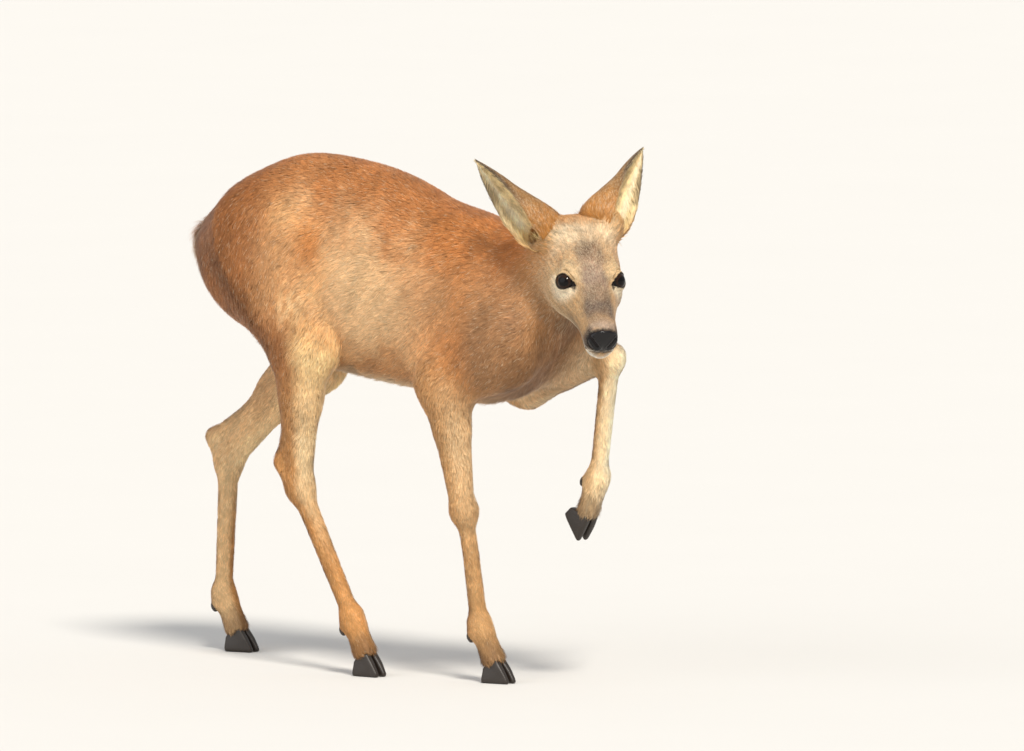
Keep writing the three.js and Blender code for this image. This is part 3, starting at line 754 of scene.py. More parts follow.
def body_tones(p, out, shares):
    ahead, left, height = -p[:, 1], p[:, 0], p[:, 2]
    neck, trunk = shares["neck"], shares["trunk"]
    wander = waves(p, 90, 3) * 0.05 + waves(p, 34, 4) * 0.04
    top, bottom = between(TRUNK, "top", ahead), between(TRUNK, "bottom", ahead)
    level = (height - bottom) / (top - bottom) + wander
    flank = smoothstep(ahead, -290, -70)
    quarters = smoothstep(-ahead + 150 * wander, 105, 170) * smoothstep(height, 400, 450)
    behind = smoothstep(out[:, 1], 0.35, 0.8) * smoothstep(-ahead, 270, 310) * smoothstep(height, 400, 470)
    chest = (neck + trunk * smoothstep(ahead, 150, 230)) * smoothstep(-height - 40 * wander, -570, -520)
    throat = smoothstep(-out[:, 2] + 0.3 * smoothstep(ahead, 260, 380), 0.12, 0.62)
    layers = [
        # The lower and middle flank are paler: partly the buff of her coat, partly painted light on the side
        # that faces the lamp.
        ("d9a976", smoothstep(-level, -0.98, -0.55) * flank),
        ("e5be8d", bump(level, 0.42, 0.28) * flank * smoothstep(-ahead, -230, -110) * 0.9),
        ("b68353", smoothstep(-level, -0.3, -0.08) * smoothstep(ahead, -230, -150)),
        ("d9bf98", smoothstep(-out[:, 2], 0.65, 0.95) * (1 - neck) * 0.8),
        ("925728", smoothstep(-ahead, 180, 280) * 0.9),
        ("9d6132", quarters * 0.8),
        ("d8b98c", behind * smoothstep(-np.abs(left), -62, -34) * 0.75),
        ("c27636", neck * 0.9),
        # Chest and throat in a greyer brown: partly her coat, partly painted shade under the head.
        ("94704e", chest * 0.85),
        ("80614a", (neck + trunk * smoothstep(ahead, 180, 250)) * throat),
    ]
    haunch = smoothstep(ahead + 150 * wander, -165, -95) * smoothstep(height, 440, 500)
    front = smoothstep(-out[:, 1] + 0.4 * wander, -0.05, 0.45)
    elbow = smoothstep(-height, -440, -380) * smoothstep(-ahead, -200, -170)
    facing = smoothstep(-out[:, 1] + 0.4 * wander, -0.1, 0.6)
    for side in ("right", "left"):
        hind, fore = shares[f"{side}_hind_upper"], shares[f"{side}_fore_upper"]
        inner = -FORELEGS[side]["side"] * out[:, 0]
        layers += [
            ("9f6434", hind * 0.85),
            ("d8a169", hind * haunch * 0.8),
            # The front of each thigh and the stifle are lighter: painted light where the lamp falls on them.
            ("e2ae72", hind * front * smoothstep(-height, -500, -450)),
            ("f8d69c", hind * front * smoothstep(-height, -470, -410)),
            ("dcb88a", hind * smoothstep(inner, 0.1, 0.6) * 0.8),
            ("bd783b", fore * 0.8),
            # The front of the shoulder in the same greyer brown: partly her coat, partly painted shade under
            # the head.
            ("94704e", fore * smoothstep(ahead, 185, 235) * 0.8),
            ("c99055", fore * elbow * 0.7),
        ]
        # The fronts of the lower legs are painted light, brightest on her far foreleg, which faces the lamp.
        sunlit_shin = "fff3d2" if side == "left" else "e0bd8f"
        for where, whole, bright, much in (("hind", "cb9357", "f8e2b4", 0.85), ("fore", "cfa06a", sunlit_shin, 0.95)):
            low = shares[f"{side}_{where}_lower"]
            layers += [
                (whole, low * 0.95),
                (bright, low * facing * smoothstep(height, 130, 330) * much),
                ("ecca98", low * smoothstep(inner, 0.0, 0.6) * 0.7),
                # The backs of the lower legs are darker: partly the orange-brown of their hind edge, partly
                # painted shade.
                ("a4672f", low * smoothstep(out[:, 1], 0.1, 0.7) * 0.45),
            ]
    feet = sum(shares[n] for n in LOWER_LEGS)
    flanks = smoothstep(np.abs(left), 28, 55) * (1 - feet) * (1 - shares["head"])
    stifle = patch(ahead, height, STIFLE_SPOTS) * smoothstep(waves(p, 20, 23), 0, 0.6)
    # Along the hip ridge a painted highlight, and behind the thigh a line of painted shade.
    layers += [
        ("e0ad74", flanks * stripe(ahead, height, HIP_RIDGE_HIGHLIGHT, 17) * 0.6),
        ("c4762f", flanks * patch(ahead, height, HIP_PATCH) * 0.75),
        ("f3d09c", flanks * stifle * 0.7),
        ("774922", flanks * stripe(ahead, height, THIGH_SHADE, 17) * 0.65),
        ("c07230", flanks * patch(ahead, height, SHOULDER_PATCH) * 0.6),
    ]
    for leg in ALL_LEGS:
        near = np.linalg.norm(p - leg["coronet"], axis=1)
        layers.append(("6e4f34", feet * smoothstep(-near, -44, -18) * 0.6))
    shade = 0.97 + 0.08 * waves(p, 60, 5) + 0.08 * waves(p, 20, 6)
    return tinted(np.tile(tone("b4743f"), (len(p), 1)), layers) * shade[:, None]


def near_ear(h, lean):
    """1 around the root of an ear, falling to 0 over the crown and cheek."""
    return smoothstep(-np.linalg.norm(h - ear_swell_middle(lean), axis=1), -40, -22)


def head_tones(p, out, shares, colour):
    h = to_head(p)
    along, aside, up = h[:, 0], np.abs(h[:, 1]), h[:, 2]
    face = shares["head"] * smoothstep(along, -34, 6)
    wander = waves(p, 26, 7) * 4
    upward = out @ head_up
    far, _, rise, almond = eye_angles(h)
    temple = smoothstep(-along, -60, -10) * smoothstep(-up, 20, 60)
    middle = smoothstep(upward, 0.35, 0.85) * smoothstep(-aside - wander * 0.5, -24, -10)
    low_bridge = smoothstep(upward, 0.1, 0.6) * smoothstep(-aside, -26, -14)
    brow = smoothstep(-far, -32, -19) * smoothstep(rise, -0.2, 0.7)
    under = smoothstep(-far, -36, -19) * smoothstep(-rise, -0.1, 0.6)
    jaw = smoothstep(-upward, 0.15, 0.7) * smoothstep(along, 20, 90)
    chin = smoothstep(-upward, -0.25, 0.25) * smoothstep(along, 168, 186) * smoothstep(-up, 30, 38)
    lip = smoothstep(along, 174, 188) * smoothstep(aside, 11, 16)
    lip = lip * smoothstep(-up, 4, 12) * smoothstep(up, -38, -33)
    tear, mouth = groove(h, TEAR_LINE, 0.5), groove(h, MOUTH, 0.3)
    nose = egg(h - np.array(NOSE["at"]), NOSE["half"])
    layers = [
        ("c49a68", face),
        ("b98a52", face * temple),
        ("e8d4b2", face * bump(along + wander, 28, 24) * smoothstep(upward, 0.25, 0.75)),
        ("a67440", face * smoothstep(-along - wander, -29, -10) * smoothstep(upward, -0.3, 0.2)),
        *(("d9a460", face * near_ear(h, lean) * 0.75) for lean in EAR_LEANS.values()),
        ("5f4636", face * middle * bump(along + wander, 63, 21) * 0.9),
        ("8c7164", face * middle * bump(along + wander, 106, 32) * 0.9),
        ("55423a", face * low_bridge * bump(along + wander, 152, 28) * 0.95),
        ("9c8778", face * low_bridge * bump(along + 0.5 * wander, 186, 9) * 0.8),
        # The sides and underside of the muzzle are darker: partly her coat, partly painted shade.
        ("715337", face * smoothstep(along, 100, 150) * smoothstep(-upward, -0.2, 0.3) * 0.92),
        ("cdb085", face * brow * 0.7),
        ("f2dfc0", face * under * 0.95),
        ("d6c09a", face * jaw * 0.7),
        ("efe8da", face * chin),
        ("3a2825", face * lip * 0.95),
        ("3a2a20", face * smoothstep(-tear, -3.4, -1.2) * 0.85),
        ("1a1210", face * smoothstep(-almond, -1.9, -0.8) * smoothstep(-far, -22, -19)),
        ("2a201c", face * smoothstep(-mouth, -2.2, -0.8) * 0.85),
        ("1a1514", face * smoothstep(-nose, -2.6, -0.6)),
    ]
    crown = bump(along, 34, 38) * smoothstep(upward, -0.1, 0.5)
    shade = 1 + face * (0.07 * waves(p, 14, 8) + (0.14 + 0.26 * crown) * waves(p, 5.5, 21))
    return tinted(colour, layers) * shade[:, None]


def ear_tones(p, share, turn, inner):
    aside = np.abs(turn)
    rim = smoothstep(aside, 0.82, 0.98) * smoothstep(share, 0.25, 0.6)
    rim = np.maximum(rim, smoothstep(share, 0.93, 0.99))
    back = [
        ("b67d40", smoothstep(-share, -0.4, -0.08)),
        ("7c6040", smoothstep(share, 0.45, 0.9) * 0.8),
        ("3d2f24", rim * 0.85),
    ]
    patches = smoothstep(waves(p, 24, 9), 0.25, 0.9) * smoothstep(-aside, -0.7, -0.3)
    mouth = [
        ("faeccb", bump(aside, 0.72, 0.2)),
        # Darker patches in the middle of the ear's hollow and higher up inside it: partly her coat, partly
        # painted shade in the hollow.
        ("8d7550", patches * smoothstep(share, 0.1, 0.25) * 0.55),
        ("9a7e56", smoothstep(waves(p, 30, 19), -0.2, 1.0) * bump(share, 0.62, 0.3) * 0.4),
        ("fbd898", smoothstep(-share, -0.28, -0.1)),
        ("4f3e2d", smoothstep(aside, 0.93, 0.99) * smoothstep(share, 0.3, 0.7) * 0.8),
    ]
    back = tinted(np.tile(tone("9a6f3f"), (len(p), 1)), back)
    mouth = tinted(np.tile(tone("f4d8a0"), (len(p), 1)), mouth)
    colour = back * (1 - inner)[:, None] + mouth * inner[:, None]
    return colour * (1 + 0.06 * waves(p, 18, 10) + 0.12 * (1 - inner) * waves(p, 7, 22))[:, None]


# ---- The lie of the coat ----
def line_ways(p, line, soft=14.0):
    """The way along the nearest stretches of a line."""
    away, ways = [], []
    for a, b in zip(line, line[1:]):
        axis = b - a
        share = np.clip((p - a) @ axis / (axis @ axis), 0, 1)
        away.append(np.linalg.norm(p - a - share[:, None] * axis, axis=1))
        ways.append(unit(axis))
    away = np.stack(away, 1)
    weight = np.exp(-(away - away.min(1, keepdims=True)) / soft)
    return unit(weight @ np.array(ways))


def coat_lie(p, out, shares):
    """The way the hair points: back along her trunk, down her legs, and from nose to crown on her face."""
    h = to_head(p)
    steep = smoothstep(-out[:, 2], -0.75, 0.1) * smoothstep(np.abs(out[:, 0]), 0.2, 0.8)
    way = place(-1, 0, -0.1) - steep[:, None] * np.array([0, 0, 0.45])
    rump = smoothstep(p[:, 1], 240, 320)
    way = lerp(way, place(-0.25, 0, -1), rump[:, None]) * shares["trunk"][:, None]
    down_neck = unit(NECK[0][0] - NECK[-1][0]) + np.array([0, 0, -0.25])
    down_neck = down_neck - steep[:, None] * np.array([0, 0, 0.35])
    way += unit(down_neck) * shares["neck"][:, None]
    for name in UPPER_LEGS + LOWER_LEGS:
        line = leg_line(name)
        along = line_ways(p, line if name.endswith("lower") else line[1:4])
        if name.endswith("upper"):
            along = unit(along + place(-0.9, 0, -0.9))
        way += along * shares[name][:, None]
    cheek = smoothstep(-(out @ head_up), -0.3, 0.6)
    over_face = -head_along - 0.45 * head_up * cheek[:, None]
    sideways = head_left * (np.sign(h[:, 1]) * smoothstep(out @ head_up, 0.2, 0.9) * 0.35)[:, None]
    way += unit(over_face + sideways) * shares["head"][:, None]
    for lean in EAR_LEANS.values():
        way += ear_axes(lean)[0] @ HEAD_AXES.T * 1.6 * near_ear(h, lean)[:, None]
    tangent = way - out * (way * out).sum(1, keepdims=True)
    swirl = 0.2 * waves(p, 70, 11) + 0.1 * waves(p, 26, 12)
    return unit(unit(tangent) + np.cross(out, unit(tangent)) * swirl[:, None])


def near_claws(p):
    """1 where the hair hangs over the claws, 0 above the pastern."""
    near = [np.linalg.norm(p - leg["coronet"], axis=1) for leg in ALL_LEGS]
    return smoothstep(-np.minimum.reduce(near), -30, -19)


# ---- How long, wide and upright the hair is ----
def coat_cut(p, out, shares):
    """Length, width and how thickly it grows, how far the tips stand off, and how grizzled the hair is."""
    h = to_head(p)
    low, high = (sum(shares[n] for n in names) for names in (LOWER_LEGS, UPPER_LEGS))
    head, neck = shares["head"], shares["neck"]
    under = smoothstep(-out[:, 2], 0.1, 0.7)
    rump = smoothstep(p[:, 1], 262, 315) * smoothstep(p[:, 2], 400, 470)
    face = smoothstep(h[:, 0], -20, 50)
    muzzle = smoothstep(h[:, 0], 95, 180)
    far, _, _, almond = eye_angles(h)
    eye = smoothstep(-far, -26, -16)
    foot = smoothstep(-p[:, 2], -200, -60)
    length = shares["trunk"] * (14 + 9 * rump + 8 * under) + neck * (14 + 7 * under) + high * (13 + 6 * rump)
    length += low * (9 - 3 * foot) + head * lerp(12, lerp(5.5, 3.4, muzzle), face)
    length = lerp(length, 1.8, eye * head)
    roots = sum(near_ear(h, lean) for lean in EAR_LEANS.values()) * (1 - eye)
    fringe = low * near_claws(p)
    length += 3.5 * roots + 4.5 * fringe
    width = 1.0 * (1 - head - low) + low * 0.8 + head * lerp(0.9, lerp(0.58, 0.48, muzzle), face)
    thick = 1 + 0.5 * low + head * (0.6 + 1.2 * face + 0.8 * muzzle)
    stand = 0.5 + 6 * rump + 3 * under * (neck + shares["trunk"]) - 0.3 * low - 0.4 * head * face + 1.8 * roots
    stand += 2.2 * fringe
    grizzle = head * face * (0.85 - 0.5 * muzzle) + 0.22 * neck * under + 0.08
    nose = egg(h - np.array(NOSE["at"]), NOSE["half"])
    bald = (nose < 0.4) & (head > 0.5) | (far < EYE["radius"] + 6) & (almond < 1.3)
    for leg in ALL_LEGS:
        down = unit(leg["coronet"] - leg["fetlock"])
        bald |= (np.linalg.norm(p - leg["coronet"], axis=1) < 40) & ((p - leg["coronet"]) @ down > -1)
    thick = np.where(bald, 0, thick)
    return {"length": length, "width": width, "thick": thick, "stand": stand, "grizzle": grizzle}


def ear_cut(share, turn, inner):
    """The same for an ear: short on its back, long at its mouth and root."""
    rim = smoothstep(np.abs(turn), 0.35, 0.9)
    seat = smoothstep(-share, -0.3, -0.08)
    length = lerp(5.5 + 5 * seat, 8 + 9 * rim * smoothstep(-share, -0.95, -0.5) + 7 * seat, inner)
    stand = lerp(0.3 + 1.2 * seat, 1.2 + 1.6 * rim + 5 * seat, inner)
    thick = np.where((share < 0.03) | (share > 0.985), 0.2, lerp(1.0, 0.8, inner))
    return {
        "length": length * lerp(1, 0.6, smoothstep(share, 0.7, 1)),
        "width": np.full(len(share), 0.7),
        "thick": thick,
        "stand": stand,
        "grizzle": lerp(0.5, 0.1, inner),
    }


# ---- Skin of body and ears, with all that the coat needs to know at each of its vertices ----
REGIONS = [
    "trunk_right",
    "trunk_left",
    "neck",
    "head_right",
    "head_left",
    "haunches",
    "shoulders",
    "shanks",
    "ears",
]


def regions_of(p, shares):
    """The number of the coat piece that each place belongs to."""
    names = list(shares)
    most = np.array(names)[np.argmax(np.stack([shares[n] for n in names], 1), 1)]
    region = np.full(len(p), REGIONS.index("neck"))
    for part, right in (("trunk", p[:, 0] < 0), ("head", to_head(p)[:, 1] < 0)):
        region[(most == part) & right] = REGIONS.index(f"{part}_right")
        region[(most == part) & ~right] = REGIONS.index(f"{part}_left")
    for name in names:
        if "_" in name:
            low, where = name.endswith("lower"), name.split("_")[1]
            kind = "shanks" if low else "haunches" if where == "hind" else "shoulders"
            region[most == name] = REGIONS.index(kind)
    return region


def gather_skin():
    """All that the coat needs to know at each vertex of the skin, and the skin's triangles."""
    p, out, faces, parts, pairs = make_body()
    shares = part_shares(parts)
    depth = coat_depth(p, shares)
    lie = unit(averaged(pairs, coat_lie(p, out, shares), 4))
    fields = {
        "place": p - out * depth[:, None],
        "out": out,
        "lie": lie,
        "tone": head_tones(p, out, shares, body_tones(p, out, shares)),
        "depth": depth,
        "region": regions_of(p, shares),
        **coat_cut(p, out, shares),
    }
    charts = [np.zeros((len(p), 3))]
    joined = [fields]
    share, turn, inner, leaf = ear_grid()
    for number, lean in enumerate(EAR_LEANS.values()):
        spots = ear_place(lean, share, turn, inner)
        ahead = ear_place(lean, np.minimum(share + 0.02, 1), turn, inner)
        behind = ear_place(lean, np.maximum(share - 0.02, 0), turn, inner)
        away = ways_out(spots, leaf)
        grow = unit(ahead - behind)
        to_rim = ear_place(lean, share, np.clip(turn + 0.05, -1, 1), inner)
        to_rim = to_rim - ear_place(lean, share, np.clip(turn - 0.05, -1, 1), inner)
        inward = unit(to_rim) * (-np.sign(turn) * 0.75 * smoothstep(np.abs(turn), 0.3, 0.9) * inner)[:, None]
        grow = unit(grow + inward)
        grow = unit(grow - away * (grow * away).sum(1, keepdims=True))
        joined.append(
            {
                "place": spots,
                "out": away,
                "lie": grow,
                "tone": ear_tones(spots, share, turn, inner),
                "depth": lerp(0.6, 0.5, inner),
                "region": np.full(len(spots), REGIONS.index("ears")),
                **ear_cut(share, turn, inner),
            }
        )
        charts.append(np.stack([share, (turn + 1) / 2, inner + 2 * number], 1))
        faces = np.concatenate([faces, leaf + sum(len(part["place"]) for part in joined[:-1])])
    whole = {key: np.concatenate([part[key] for part in joined]) for key in fields}
    whole["chart"] = np.concatenate(charts)
    return whole, faces


def paint(mesh, name, colour):
    layer = mesh.color_attributes.new(name, "FLOAT_COLOR", "POINT")
    rgba = np.ones((len(colour), 4), np.float32)
    rgba[:, :3] = np.clip(colour, 0, 1)
    layer.data.foreach_set("color", rgba.ravel())


# ---- Charts: where each tuft's root lies on the skin, unrolled round the middle line of its region ----
TRUNK_LINE = [place(-330, 0, 520), place(0, 0, 515), place(330, 0, 480)]
NECK_LINE = [spot for spot, _ in NECK] + [on_head([20, 0, -40])]
HEAD_LINE = [on_head([-40, 0, -40]), on_head([215, 0, -26])]
LEG_PIECES = {"haunches": ["hind_upper"], "shoulders": ["fore_upper"], "shanks": ["hind_lower", "fore_lower"]}
PATCH = 0.003
CHART_EDGE = 0.02


def unroll(p, line):
    """How far along a line each place lies, and how far round it, both from 0 to 1."""
    lengths = [np.linalg.norm(b - a) for a, b in zip(line, line[1:])]
    best, along, around = np.full(len(p), np.inf), np.zeros(len(p)), np.zeros(len(p))
    for number, (a, b) in enumerate(zip(line, line[1:])):
        axis = unit(b - a)
        share = np.clip((p - a) @ axis / lengths[number], 0, 1)
        away = p - a - (share * lengths[number])[:, None] * axis
        far = np.linalg.norm(away, axis=1)
        side = unit(np.cross(axis, [0.0, 0.3, 1.0]))
        above = np.cross(side, axis)
        turn = np.arctan2(away @ side, away @ above) / (2 * np.pi) + 0.5
        nearer = far < best
        best = np.where(nearer, far, best)
        along = np.where(nearer, (sum(lengths[:number]) + share * lengths[number]) / sum(lengths), along)
        around = np.where(nearer, turn, around)
    return along, around


def chart_of(region, p, chart):
    """Root places on the map of one coat piece."""
    name = REGIONS[region]
    if name == "ears":
        u, v, cell, cells = chart[:, 0], chart[:, 1], np.round(chart[:, 2]), 4
    elif name in LEG_PIECES:
        ends = LEG_PIECES[name]
        lines = [leg_line(f"{side}_{end}") for end in ends for side in ("right", "left")]
        lines = [line[:4] if "upper" in ends[0] else line[2:] for line in lines]
        middles = [[np.linalg.norm(p - spot, axis=1) for spot in line] for line in lines]
        cell = np.argmin([np.minimum.reduce(far) for far in middles], 0)
        cells = len(lines)
        u, v = np.zeros(len(p)), np.zeros(len(p))
        for number, line in enumerate(lines):
            mine = cell == number
            u[mine], v[mine] = unroll(p[mine], line)
    else:
        line = {"trunk": TRUNK_LINE, "neck": NECK_LINE, "head": HEAD_LINE}[name.split("_")[0]]
        u, v = unroll(p, line)
        cell, cells = 0, 1
        if name.endswith("_right") or name.endswith("_left"):
            low, high = np.quantile(v, [0.001, 0.999])
            v = np.clip((v - low) / (high - low), 0, 1)
    u = (np.clip(u, 0, 1) * (1 - 2 * CHART_EDGE) + CHART_EDGE + cell) / cells
    v = np.clip(v, 0, 1) * (1 - 2 * CHART_EDGE) + CHART_EDGE
    return np.stack([u, v], 1)


# ---- Tufts ----
TUFTS = {
    "trunk_right": 98000,
    "trunk_left": 90000,
    "neck": 92000,
    "head_right": 92000,
    "head_left": 80000,
    "haunches": 88000,
    "shoulders": 52000,
    "shanks": 80000,
    "ears": 56000,
}
PALE_TIP, DARK_TIP = tone("e6d6b4"), tone("4a3424")
# How much single hairs differ: how far each turns aside, its length, half width and height as shares, its tone.
HAIR = {
    "turn": 0.1,
    "length": (0.7, 1.2),
    "half": (0.3, 0.62),
    "height": (0.6, 1.0),
    "bright": 0.1,
    "warm": 0.035,
}
# Of the grizzled hairs, the share with a pale tip, and how strong the tip's own tone is.
PALE_SHARE = 0.6
TIP_STRENGTH = 0.72
# How deep a root sits, and where and how far a hair bends up between root and tip.
ROOT_SUNK = 0.3
KNEE_AT, KNEE_HIGH = 0.45, 0.28


def grow_coat(region, skin, faces):
    """One coat piece: slim kites of hair from the skin, bent down along the body."""
    name = REGIONS[region]
    faces = faces[skin["region"][faces[:, 0]] == region]
    a, b, c = (skin["place"][faces[:, k]] for k in range(3))
    area = np.linalg.norm(np.cross(b - a, c - a), axis=1) * skin["thick"][faces].mean(1)
    count = TUFTS[name]
    picked = faces[chance.choice(len(faces), count, p=area / area.sum())]
    u, v = chance.random((2, count))
    over = u + v > 1
    u[over], v[over] = 1 - u[over], 1 - v[over]
    shares = np.stack([1 - u - v, u, v], 1)

    def at(key):
        values = skin[key][picked]
        return np.einsum("ij,ij...->i...", shares, values)

    root, out, lie, colour, depth = at("place"), unit(at("out")), at("lie"), at("tone"), at("depth")
    lie = unit(lie - out * (lie * out).sum(1, keepdims=True))
    across = np.cross(out, lie)
    lock = 0.16 * waves(root, 15, 13) + 0.14 * waves(root, 6, 14)
    lean = lock + chance.normal(0, HAIR["turn"], count)
    lie = unit(lie + across * lean[:, None])
    across = np.cross(out, lie)
    length = at("length") * chance.uniform(*HAIR["length"], count)
    half = at("width") * chance.uniform(*HAIR["half"], count)
    lifted = np.clip(0.5 + 0.35 * waves(root, 11, 15), 0, 1)
    top = depth * chance.uniform(*HAIR["height"], count)
    top = top + at("stand") * chance.random(count) ** 2 * (0.4 + lifted)
    tip = root + lie * length[:, None] + out * top[:, None]
    if name != "ears":
        wrong = skin_shape(tip)[1] - (top - depth)
        tip -= out * np.clip(wrong, -4, 6)[:, None]
    middle = lerp(root, tip, KNEE_AT) + out * (KNEE_HIGH * top)[:, None]
    root = root - out * ROOT_SUNK
    points = np.stack([root, middle - across * half[:, None], middle + across * half[:, None], tip], 1)

    bright = np.exp(chance.normal(0, HAIR["bright"], count) + 0.08 * waves(root, 7, 16))
    warm = chance.normal(0, HAIR["warm"], count)
    colour = colour * bright[:, None] * (1 + warm[:, None] * np.array([1, 0, -1]))
    grizzled = chance.random(count) < at("grizzle")
    pale = chance.random(count) < PALE_SHARE
    end = np.where((grizzled & pale)[:, None], lerp(colour, PALE_TIP, TIP_STRENGTH), colour * 1.12)
    end = np.where((grizzled & ~pale)[:, None], lerp(colour, DARK_TIP, TIP_STRENGTH), end)
    tones = np.stack([colour * 0.88, colour, colour, end], 1)

    own = unit(np.cross(tip - root, across))
    soft = unit(0.8 * out + 0.2 * own * np.sign((own * out).sum(1, keepdims=True)))
    normals = np.stack([soft, soft - across * 0.2, soft + across * 0.2, soft], 1)

    first = np.arange(count)[:, None] * 4
    kites = (first + np.array([1, 2, 0, 3, 2, 1])).reshape(-1, 3)
    mesh = build_mesh(f"coat_{name}", to_frame(points.reshape(-1, 3)), kites)
    paint(mesh, "tone", tones.reshape(-1, 3))
    mesh.normals_split_custom_set_from_vertices(unit(normals.reshape(-1, 3)))
    roots = chart_of(region, root, at("chart") if name == "ears" else None)
    corners = roots[:, None] + PATCH / 2 * np.array([(-1, 0), (0, -1), (0, 1), (1, 0)])
    layer = mesh.uv_layers.new(name="OFBake")
    layer.data.foreach_set("uv", corners.reshape(-1, 2)[kites.ravel()].astype(np.float32).ravel())
    return mesh


# ---- Eyes and nose ----
EYE_SUNK = 0.25
CORNEA = {"high": 0.9, "turn": 0.55}
PUPIL = {"long": 0.5, "short": 0.34}
IRIS_RAYS = 19


def ball_faces(rings, spokes):
    """Faces between rings of spots, where each ring closes on itself."""
    starts = np.arange(rings)[:, None] * spokes
    grid = (starts + np.arange(spokes)).ravel()
    beside = (starts + (np.arange(spokes) + 1) % spokes).ravel()
    return np.stack([grid, grid + spokes, beside + spokes, beside], 1)


def make_eye(side):
    """An eyeball with a raised cornea. Its tones hold the wide dark iris and the level slot of its pupil."""
    rings, spokes = 44, 72
    sided = np.array([1, side, 1])
    middle = on_head(np.array(EYE["at"]) * sided)
    looks, ahead, above = (way * sided @ HEAD_AXES.T for way in (eye_looks, eye_long, eye_short))
    turn = np.repeat(np.linspace(0, np.pi * 0.62, rings + 1), spokes)
    spin = np.tile(np.arange(spokes) * 2 * np.pi / spokes, rings + 1)
    x, y = np.sin(turn) * np.cos(spin), np.sin(turn) * np.sin(spin)
    swell = EYE["radius"] - EYE_SUNK + CORNEA["high"] * np.exp(-((turn / CORNEA["turn"]) ** 4))
    spots = middle + swell[:, None] * (x[:, None] * ahead + y[:, None] * above + np.cos(turn)[:, None] * looks)
    quads = ball_faces(rings, spokes)
    a, b, _, d = spots[quads[len(quads) // 2]]
    if np.cross(b - a, d - a) @ (a - middle) < 0:
        quads = quads[:, ::-1]
    mesh = build_mesh("eye", to_frame(spots), quads)
    pupil = np.sqrt((x / PUPIL["long"]) ** 2 + (y / PUPIL["short"]) ** 2)
    iris = np.sqrt(x**2 + y**2)
    rays = 0.5 + 0.5 * np.sin(spin * IRIS_RAYS + 2 * np.sin(spin * 7))
    colour = np.tile(tone("28170d"), (len(spots), 1)) * (0.7 + 0.5 * rays)[:, None]
    layers = [("0c0807", smoothstep(-pupil, -1.12, -0.95)), ("0e0a08", smoothstep(iris, 0.58, 0.72))]
    paint(mesh, "tone", tinted(colour, layers))
    return mesh


# A nostril's line from its inner end, its half width, the rim round its inner end, and the groove to the lip.
NOSTRIL = np.array([(201.5, 7.5, -27), (200, 11.5, -21.5), (196.5, 15.5, -16.5), (189, 19, -15.5)])
NOSTRIL_RADIUS = 2.7
NOSTRIL_RIM = {"start": 5.2, "end": 4.6, "high": 0.9}
NOSE_GROOVE = [(203, 0, -22), (200, 0, -38)]
NOSE_HEART = np.array([195, 0, -22.0])


def nose_shape(h):
    """The naked nose, with comma-shaped nostrils and the groove below them."""
    shape = -join(-head_shape(on_head(h)) + 0.5, -egg(h - np.array(NOSE["at"]), NOSE["half"]), 1.2)
    ends = NOSTRIL_RIM["start"], NOSTRIL_RIM["end"]
    rims = [rod(mirror(h), a, b, *ends) for a, b in zip(NOSTRIL, NOSTRIL[1:3])]
    shape = join(shape, np.maximum(np.minimum.reduce(rims), shape - NOSTRIL_RIM["high"]), 2)
    shape = carve(shape, groove(h, NOSTRIL, NOSTRIL_RADIUS), 2.2)
    return carve(shape, groove(h, NOSE_GROOVE, 0.8), 1.6)


def make_nose():
    """The naked nose, found by stepping out along rays from a spot inside it."""
    rings, spokes, steps = 90, 120, 60
    turn = np.repeat(np.linspace(0.001, np.pi - 0.001, rings + 1), spokes)
    spin = np.tile(np.arange(spokes) * 2 * np.pi / spokes, rings + 1)
    rays = np.stack([np.cos(turn), np.sin(turn) * np.cos(spin), np.sin(turn) * np.sin(spin)], 1)
    far = np.full(len(rays), 1.0)
    for _ in range(steps):
        far -= nose_shape(NOSE_HEART + rays * far[:, None]) * 0.6
    spots = NOSE_HEART + rays * far[:, None]
    mesh = build_mesh("nose", to_frame(on_head(spots)), ball_faces(rings, spokes))
    # The nostrils are painted darker inside: painted shade in the holes.
    inside = smoothstep(-groove(spots, NOSTRIL, NOSTRIL_RADIUS), -1.2, 0.6)
    layers = [("050404", inside), ("3a2f2d", smoothstep(-spots[:, 2], 30, 38) * 0.5)]
    paint(mesh, "tone", tinted(np.tile(tone("100d0e"), (len(spots), 1)), layers))
    return mesh


# ---- Claws ----
# The claws' grain and rounds of wear, how much slimmer they end up, their rounded heel, and their growth rings.
CLAW_GRAIN = 0.0011
CLAW_ROUNDS = 24
CLAW_SLIM = 0.16
HEEL_FROM = 8
HEEL_ROUND = 0.6
RING_STEP = 2.6
RING_HEIGHT = 0.18


def make_claw(name):
    """A claw worn smooth from its solid, with faint growth rings, still standing on the same level."""
    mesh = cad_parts[name].data.copy()
    low = points_of(mesh)[:, 2].min()
    made = even_facets(mesh, CLAW_GRAIN, CLAW_ROUNDS)
    p = from_frame(points_of(made))
    if not name.endswith("dewclaw"):
        leg = leg_of(name)
        out = ways_out(p, triangles_of(made))
        down = unit(leg["coronet"] - leg["fetlock"])
        below = (p - leg["coronet"]) @ down
        ring = np.sin(2 * np.pi * (below + 0.6 * waves(p, 16, 17)) / RING_STEP)
        p += out * (ring * RING_HEIGHT * (1 - np.abs(out @ down)))[:, None]
        away = p - leg["coronet"] - below[:, None] * down
        p -= away * (CLAW_SLIM * (1 - smoothstep(below, -4, 20)))[:, None]
        toe = unit(down * np.array([1, 1, 0]))
        back = np.maximum(-(p - leg["coronet"]) @ toe - HEEL_FROM, 0)
        p += toe * (HEEL_ROUND * back * smoothstep(-below, -24, -2))[:, None]
    spots = to_frame(p)
    spots[:, 2] = np.maximum(spots[:, 2] + low - spots[:, 2].min(), low)
    made.vertices.foreach_set("co", spots.astype(np.float32).ravel())
    made.polygons.foreach_set("use_smooth", np.ones(len(made.polygons), bool))
    made.update()
    return made


